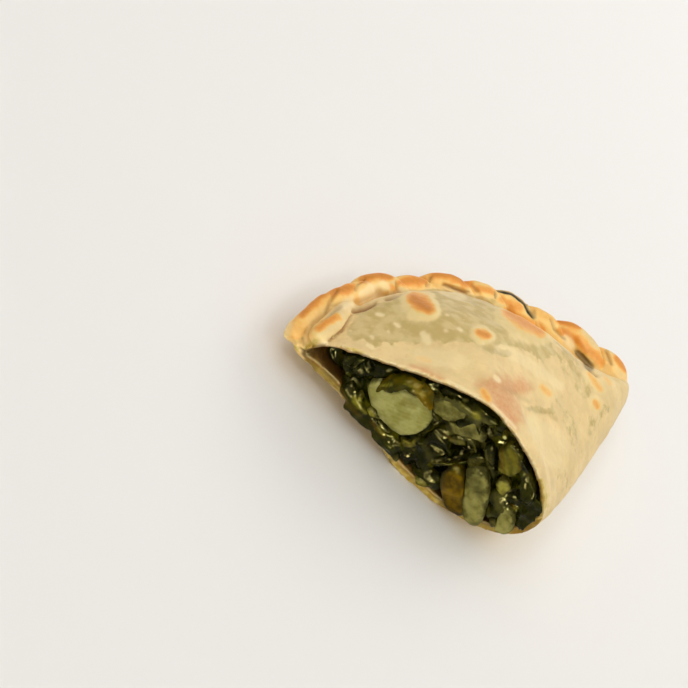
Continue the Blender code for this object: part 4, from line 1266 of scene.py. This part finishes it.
class Finish:
    """A material's nodes, built by short calls. A colour of three numbers is one as in a picture."""

    def __init__(self, name):
        self.material = bpy.data.materials.new(name)
        self.material.use_nodes = True
        self.tree = self.material.node_tree
        self.shader = self.tree.nodes["Principled BSDF"]
        self.place = self.node("TexCoord", "Object", {})

    def feed(self, socket, value):
        if isinstance(value, Value):
            self.tree.links.new(value.socket, socket)
        elif isinstance(value, tuple) and len(value) == 3:
            socket.default_value = colour(*value)
        else:
            socket.default_value = value

    def node(self, kind, output, inputs, **settings):
        """What a new node gives at an output, with its settings made and its inputs fed."""
        node = self.tree.nodes.new("ShaderNode" + kind)
        for name, value in settings.items():
            setattr(node, name, value)
        for name, value in inputs.items():
            self.feed(node.inputs[name], value)
        return Value(self, node.outputs[output])

    def set(self, **inputs):
        for name, value in inputs.items():
            self.feed(self.shader.inputs[name.replace("_", " ")], value)

    def attribute(self, name):
        return self.node("Attribute", "Fac", {}, attribute_name=name)

    def noise(self, size, detail=3.0, roughness=0.5):
        """Noise from 0 to 1 with lumps of that size in millimetres."""
        return self.node("TexNoise", "Fac", {"Vector": self.place, "Scale": 1.0 / (size * MM),
                                             "Detail": detail, "Roughness": roughness})

    def spots(self, size):
        """Distance to the nearest of many scattered points, in shares of size."""
        return self.node("TexVoronoi", "Distance", {"Vector": self.place, "Scale": 1.0 / (size * MM)})

    def math(self, operation, a, b=0.0):
        return self.node("Math", 0, {0: a, 1: b}, operation=operation)

    def step(self, value, low, high, out_low=0.0, out_high=1.0):
        ends = {"From Min": low, "From Max": high, "To Min": out_low, "To Max": out_high}
        return self.node("MapRange", "Result", {"Value": value, **ends}, interpolation_type="SMOOTHSTEP")

    def mix(self, share, a, b):
        return self.node("Mix", 2, {"Factor": share, 6: a, 7: b}, data_type="RGBA")

    def ramp(self, value, *stops):
        result = self.node("ValToRGB", "Color", {"Fac": value})
        elements = result.socket.node.color_ramp.elements
        while len(elements) < len(stops):
            elements.new(0.5)
        for element, (position, tint) in zip(elements, stops):
            element.position = position
            element.color = colour(*tint)
        return result

    def bump(self, height, distance, strength):
        """A bump whose height of 1 stands for distance in millimetres."""
        return self.node("Bump", "Normal", {"Height": height, "Distance": distance * MM,
                                            "Strength": strength})


def dough_finish():
    f = Finish("baked_dough")
    mark = f.attribute
    mottle = f.noise(5.0, 4.0, 0.6)
    fine = f.noise(0.8, 4.0, 0.6)
    base = f.mix(f.step(mottle, 0.35, 0.65), (238, 210, 152), (226, 198, 142))
    base = f.mix(f.step(f.noise(1.5, 3.0, 0.6), 0.5, 0.75, 0.0, 0.35), base, (214, 182, 122))
    clear = mark("clear") + f.step(f.noise(2.0, 5.0, 0.65), 0.3, 0.75, -0.3, 0.3)
    olive = f.mix(f.step(f.noise(3.0), 0.38, 0.65), (200, 173, 110), (218, 194, 137))
    base = f.mix(f.step(clear, 0.25, 0.7), base, olive)
    flecks = f.step(f.spots(2.3) + fine * 0.35, 0.26, 0.36, 1.0, 0.0) * f.step(f.noise(6.0), 0.42, 0.6)
    base = f.mix(flecks * 0.45, base, (238, 216, 162))
    base = f.mix(mark("dusky") * 0.7, base, (178, 148, 92))
    base = f.mix(mark("halo") * 0.85, base, (242, 216, 154))
    base = f.mix(mark("pink") * f.step(fine, 0.2, 0.7, 0.6, 1.0), base, (212, 142, 94))
    base = f.mix(mark("rope") * 0.85, base, (248, 206, 128))
    bake = (mark("bake") + (fine - 0.5) * 0.3) * f.step(mark("bake"), 0.0, 0.12)
    baked = f.ramp(bake, (0.0, (248, 210, 132)), (0.35, (242, 188, 102)), (0.65, (232, 154, 68)),
                   (1.0, (206, 128, 48)))
    base = f.mix(f.step(bake, 0.05, 0.45), base, baked)
    # pale dough and flour flecks, with painted highlights
    base = f.mix(mark("pale_and_highlight") * 0.75, base, (250, 230, 180))
    brown = mark("brown") * f.step(f.noise(1.3, 4.0, 0.6), 0.3, 0.65, 0.5, 1.0)
    base = f.mix(f.step(brown, 0.25, 1.0, 0.0, 0.7), base, (184, 98, 38))
    # painted shade in the rope's creases and in the valleys between its folds
    base = f.mix(mark("crease") * 0.85, base, (138, 82, 24))
    # char, and painted shade in the crack and the gap under the lobe
    base = f.mix(mark("char_and_gap_shade"), base, (20, 13, 4))
    crumb = f.mix(f.step(fine, 0.4, 0.6), (250, 232, 186), (236, 208, 146))
    wet_crumb = f.mix(f.step(f.noise(2.2), 0.4, 0.65), (168, 143, 64), (136, 108, 32))
    base = f.mix(mark("cut"), base, f.mix(mark("wet"), crumb, wet_crumb))
    soaked = mark("soaked") + f.step(f.noise(1.4), 0.3, 0.7, -0.15, 0.15)
    oily = f.ramp(soaked, (0.3, (220, 196, 114)), (0.6, (184, 152, 56)), (0.95, (142, 108, 16)))
    base = f.mix(f.step(soaked, 0.1, 0.45), base, oily)
    # the hollow's lining: juice-soaked amber to dark brown, the dark brown a painted shade inside the hollow
    lining_and_shade_tint = f.mix(f.step(mottle, 0.4, 0.6), (140, 94, 20), (84, 50, 4))
    base = f.mix(mark("inner"), base, lining_and_shade_tint)
    wet = f.math("MAXIMUM", f.math("MAXIMUM", mark("wet"), mark("inner")), mark("soaked"))
    rough = f.step(fine + mark("clear") * -0.3, 0.1, 0.8, 0.36, 0.58) - wet * 0.08
    height = f.noise(1.6, 4.0, 0.6) * 0.6 + f.noise(0.28, 2.0) * 0.4
    f.set(Base_Color=base, Roughness=rough, Normal=f.bump(height, 0.2, 0.85))
    f.set(Subsurface_Weight=0.2, Subsurface_Scale=0.0014, IOR=1.42, Specular_IOR_Level=0.32,
          Specular_Tint=(1.0, 0.86, 0.5, 1.0))
    f.shader.inputs["Subsurface Radius"].default_value = (1.0, 0.62, 0.3)
    return f.material


def marked(f, base, bright, amber, clear=None):
    """The base colour with the marks on the filling laid over it."""
    speckle = f.step(f.noise(1.0, 3.0, 0.6), 0.3, 0.6, 0.55, 1.0)
    for name, tint in (("clear", clear), ("amber", amber), ("bright", bright)):
        if tint:
            base = f.mix(f.attribute(name) * speckle, base, tint)
    # painted shade in holes and gaps
    return f.mix(f.attribute("hole_shade") * 0.9, base, (7, 8, 1))


def make_wet(f, height, distance, clarity, scale, radius):
    """A wet surface: soft ripples whose gloss is tinted by the oily juice."""
    f.set(Normal=f.bump(height + f.noise(0.5, 2.0) * 0.26, distance, 0.9))
    f.set(Roughness=f.step(f.noise(0.9, 2.0), 0.3, 0.7, 0.06, 0.16), IOR=1.33, Specular_IOR_Level=0.2,
          Specular_Tint=(1.0, 0.9, 0.4, 1.0), Subsurface_Weight=clarity, Subsurface_Scale=scale)
    f.shader.inputs["Subsurface Radius"].default_value = radius


def chard_finish(name, dark, mid, light):
    f = Finish(name)
    tone = f.attribute("tone") + f.step(f.noise(2.2, 4.0, 0.6), 0.3, 0.75, -0.3, 0.22)
    base = f.ramp(tone, (0.0, dark), (0.5, mid), (1.0, light))
    # painted highlight: leaf rims turned lighter in patches
    base = f.mix(f.attribute("rim") * f.step(f.noise(1.5), 0.4, 0.62) * 0.35, base, light)
    # the grey-green laid for 'clear' is translucent leaf, partly a painted sheen
    f.set(Base_Color=marked(f, base, (146, 138, 40), (118, 88, 4), (92, 88, 38)))
    make_wet(f, f.noise(1.5, 2.0, 0.45), 0.2, 0.1, 0.0006, (0.7, 1.0, 0.15))
    return f.material


def onion_finish(name, main, bright, deep, line_turn, spacing, clarity):
    """Translucent cooked onion or stalk with faint parallel lines."""
    f = Finish(name)
    turn = math.radians(line_turn)
    across = f.node("SeparateXYZ", "X", {0: f.place}) * math.sin(turn)
    up = f.node("SeparateXYZ", "Z", {0: f.place}) * math.cos(turn)
    place = across + up + f.noise(6.0, 2.0) * 0.0012
    lines = f.step(f.math("SINE", place * (math.tau / (spacing * MM))), -0.6, 1.0)
    base = f.mix(f.step(f.noise(3.5, 3.0, 0.6), 0.35, 0.68), main, bright)
    base = f.mix(lines * 0.16, base, bright)
    base = f.mix(f.step(f.noise(3.2, 2.0), 0.5, 0.75, 0.0, 0.5), base, deep)
    edge = f.attribute("edge") + f.step(f.noise(1.8), 0.3, 0.7, -0.35, 0.25)
    base = f.mix(f.step(edge, 0.3, 1.0, 0.0, 0.8), base, (42, 40, 6))
    f.set(Base_Color=marked(f, base, bright, deep))
    make_wet(f, lines * 0.4 + f.noise(1.3, 2.0), 0.1, clarity, 0.0022, (1.0, 0.95, 0.45))
    return f.material


def bits_finish():
    f = Finish("onion_bits")
    tone = f.attribute("tone") + f.step(f.noise(1.2), 0.3, 0.75, -0.2, 0.15)
    base = f.ramp(tone, (0.1, (26, 28, 4)), (0.5, (92, 84, 26)), (0.85, (150, 144, 50)),
                  (1.0, (196, 194, 138)))
    f.set(Base_Color=marked(f, base, (160, 154, 66), (112, 82, 6)))
    make_wet(f, f.noise(0.9, 2.0), 0.1, 0.5, 0.0014, (1.0, 0.95, 0.3))
    return f.material


def floor_finish():
    f = Finish("table")
    f.set(Base_Color=(0.83, 0.815, 0.795, 1.0), Roughness=0.7, Specular_IOR_Level=0.2)
    return f.material


# --- stage, lights and camera ------------------------------------------------------------

def make_floor():
    mesh = bpy.data.meshes.new("table")
    corners = [(TABLE_HALF * x, TABLE_HALF * y, 0.0) for x, y in ((-1, -1), (1, -1), (1, 1), (-1, 1))]
    mesh.from_pydata(corners, [], [(0, 1, 2, 3)])
    mesh.materials.append(floor_finish())
    add_object("table", mesh)


def area_light(name, place, target, size, power, tint):
    light = bpy.data.lights.new(name, "AREA")
    light.shape = "SQUARE"
    light.size = size
    light.energy = power
    light.color = tint
    obj = add_object(name, light)
    obj.location = place
    obj.rotation_euler = (Vector(target) - Vector(place)).to_track_quat("-Z", "Y").to_euler()
    return obj


def make_lights():
    world = bpy.data.worlds.new("studio")
    bpy.context.scene.world = world
    world.use_nodes = True
    nodes, links = world.node_tree.nodes, world.node_tree.links
    background = nodes["Background"]
    background.inputs["Color"].default_value = (1.0, 0.985, 0.965, 1.0)
    height = nodes.new("ShaderNodeSeparateXYZ")
    links.new(nodes.new("ShaderNodeTexCoord").outputs["Generated"], height.inputs[0])
    brighter_above = nodes.new("ShaderNodeMapRange")
    for name, value in (("From Min", 0.0), ("From Max", 0.9), ("To Min", 0.15), ("To Max", 0.78)):
        brighter_above.inputs[name].default_value = value
    links.new(height.outputs["Z"], brighter_above.inputs["Value"])
    links.new(brighter_above.outputs["Result"], background.inputs["Strength"])
    for name, lamp in LAMPS.items():
        area_light(name, *lamp)
    for number, place in enumerate(SPARKS):
        spark = area_light("spark_" + str(number), place, MIDDLE, SPARK_SIZE, SPARK_POWER, SPARK_TINT)
        spark.visible_diffuse = False


def make_camera():
    data = bpy.data.cameras.new("camera")
    data.sensor_width = SENSOR
    data.lens = CAMERA_PIXELS / PHOTO_SIZE * SENSOR
    data.clip_start, data.clip_end = 0.05, 20.0
    camera = add_object("camera", data)
    turn = Matrix((CAMERA_RIGHT, CAMERA_UP, CAMERA_TOWARD)).transposed().to_4x4()
    camera.matrix_world = Matrix.Translation(Vector((CAMERA_PLACE - ORIGIN) * MM)) @ turn
    bpy.context.scene.camera = camera


# --- everything --------------------------------------------------------------------------

def make_all():
    make_floor()
    make_camera()
    make_lights()
    dough, rope = make_dough()
    paint_dough(dough, rope)
    finish_piece(dough, dough_finish(), "pastry", "pastry")

    chard = chard_finish("wet_chard", (14, 17, 1), (46, 48, 3), (118, 112, 14))
    finish_piece(make_mass(), chard, "chard", "filling")
    finish_piece(make_core(), chard, "chard")
    finish_piece(make_bits(), bits_finish(), "onion")
    yellow = chard_finish("olive_leaf", (46, 47, 1), (84, 73, 2), (150, 113, 6))
    finish_piece(make_yellow_leaf(), yellow, "yellow_leaf", "leaf_yellow")

    onion = onion_finish("cooked_onion", (150, 146, 74), (184, 180, 110), (118, 110, 44), -24.0, 0.95, 0.6)
    grey_onion = onion_finish("clear_onion", (92, 87, 35), (158, 152, 82), (54, 50, 12), 41.0, 1.4, 0.6)
    stalk = onion_finish("amber_stalk", (68, 51, 0), (132, 102, 1), (50, 36, 0), 41.0, 2.6, 0.5)
    stem = onion_finish("wet_stem", (78, 73, 10), (124, 117, 30), (84, 60, 4), 30.0, 1.9, 0.5)
    others = {"onion_large": (onion, "onion"), "stalk": (stalk, "stalk"), "stem": (stem, "yellow_leaf")}
    for number, node in enumerate(CHUNKS):
        finish, slot = others.get(node, (grey_onion, "onion"))
        finish_piece(make_chunk(number, node), finish, slot, node)
    bpy.context.scene.view_settings.view_transform = "Standard"


make_all()
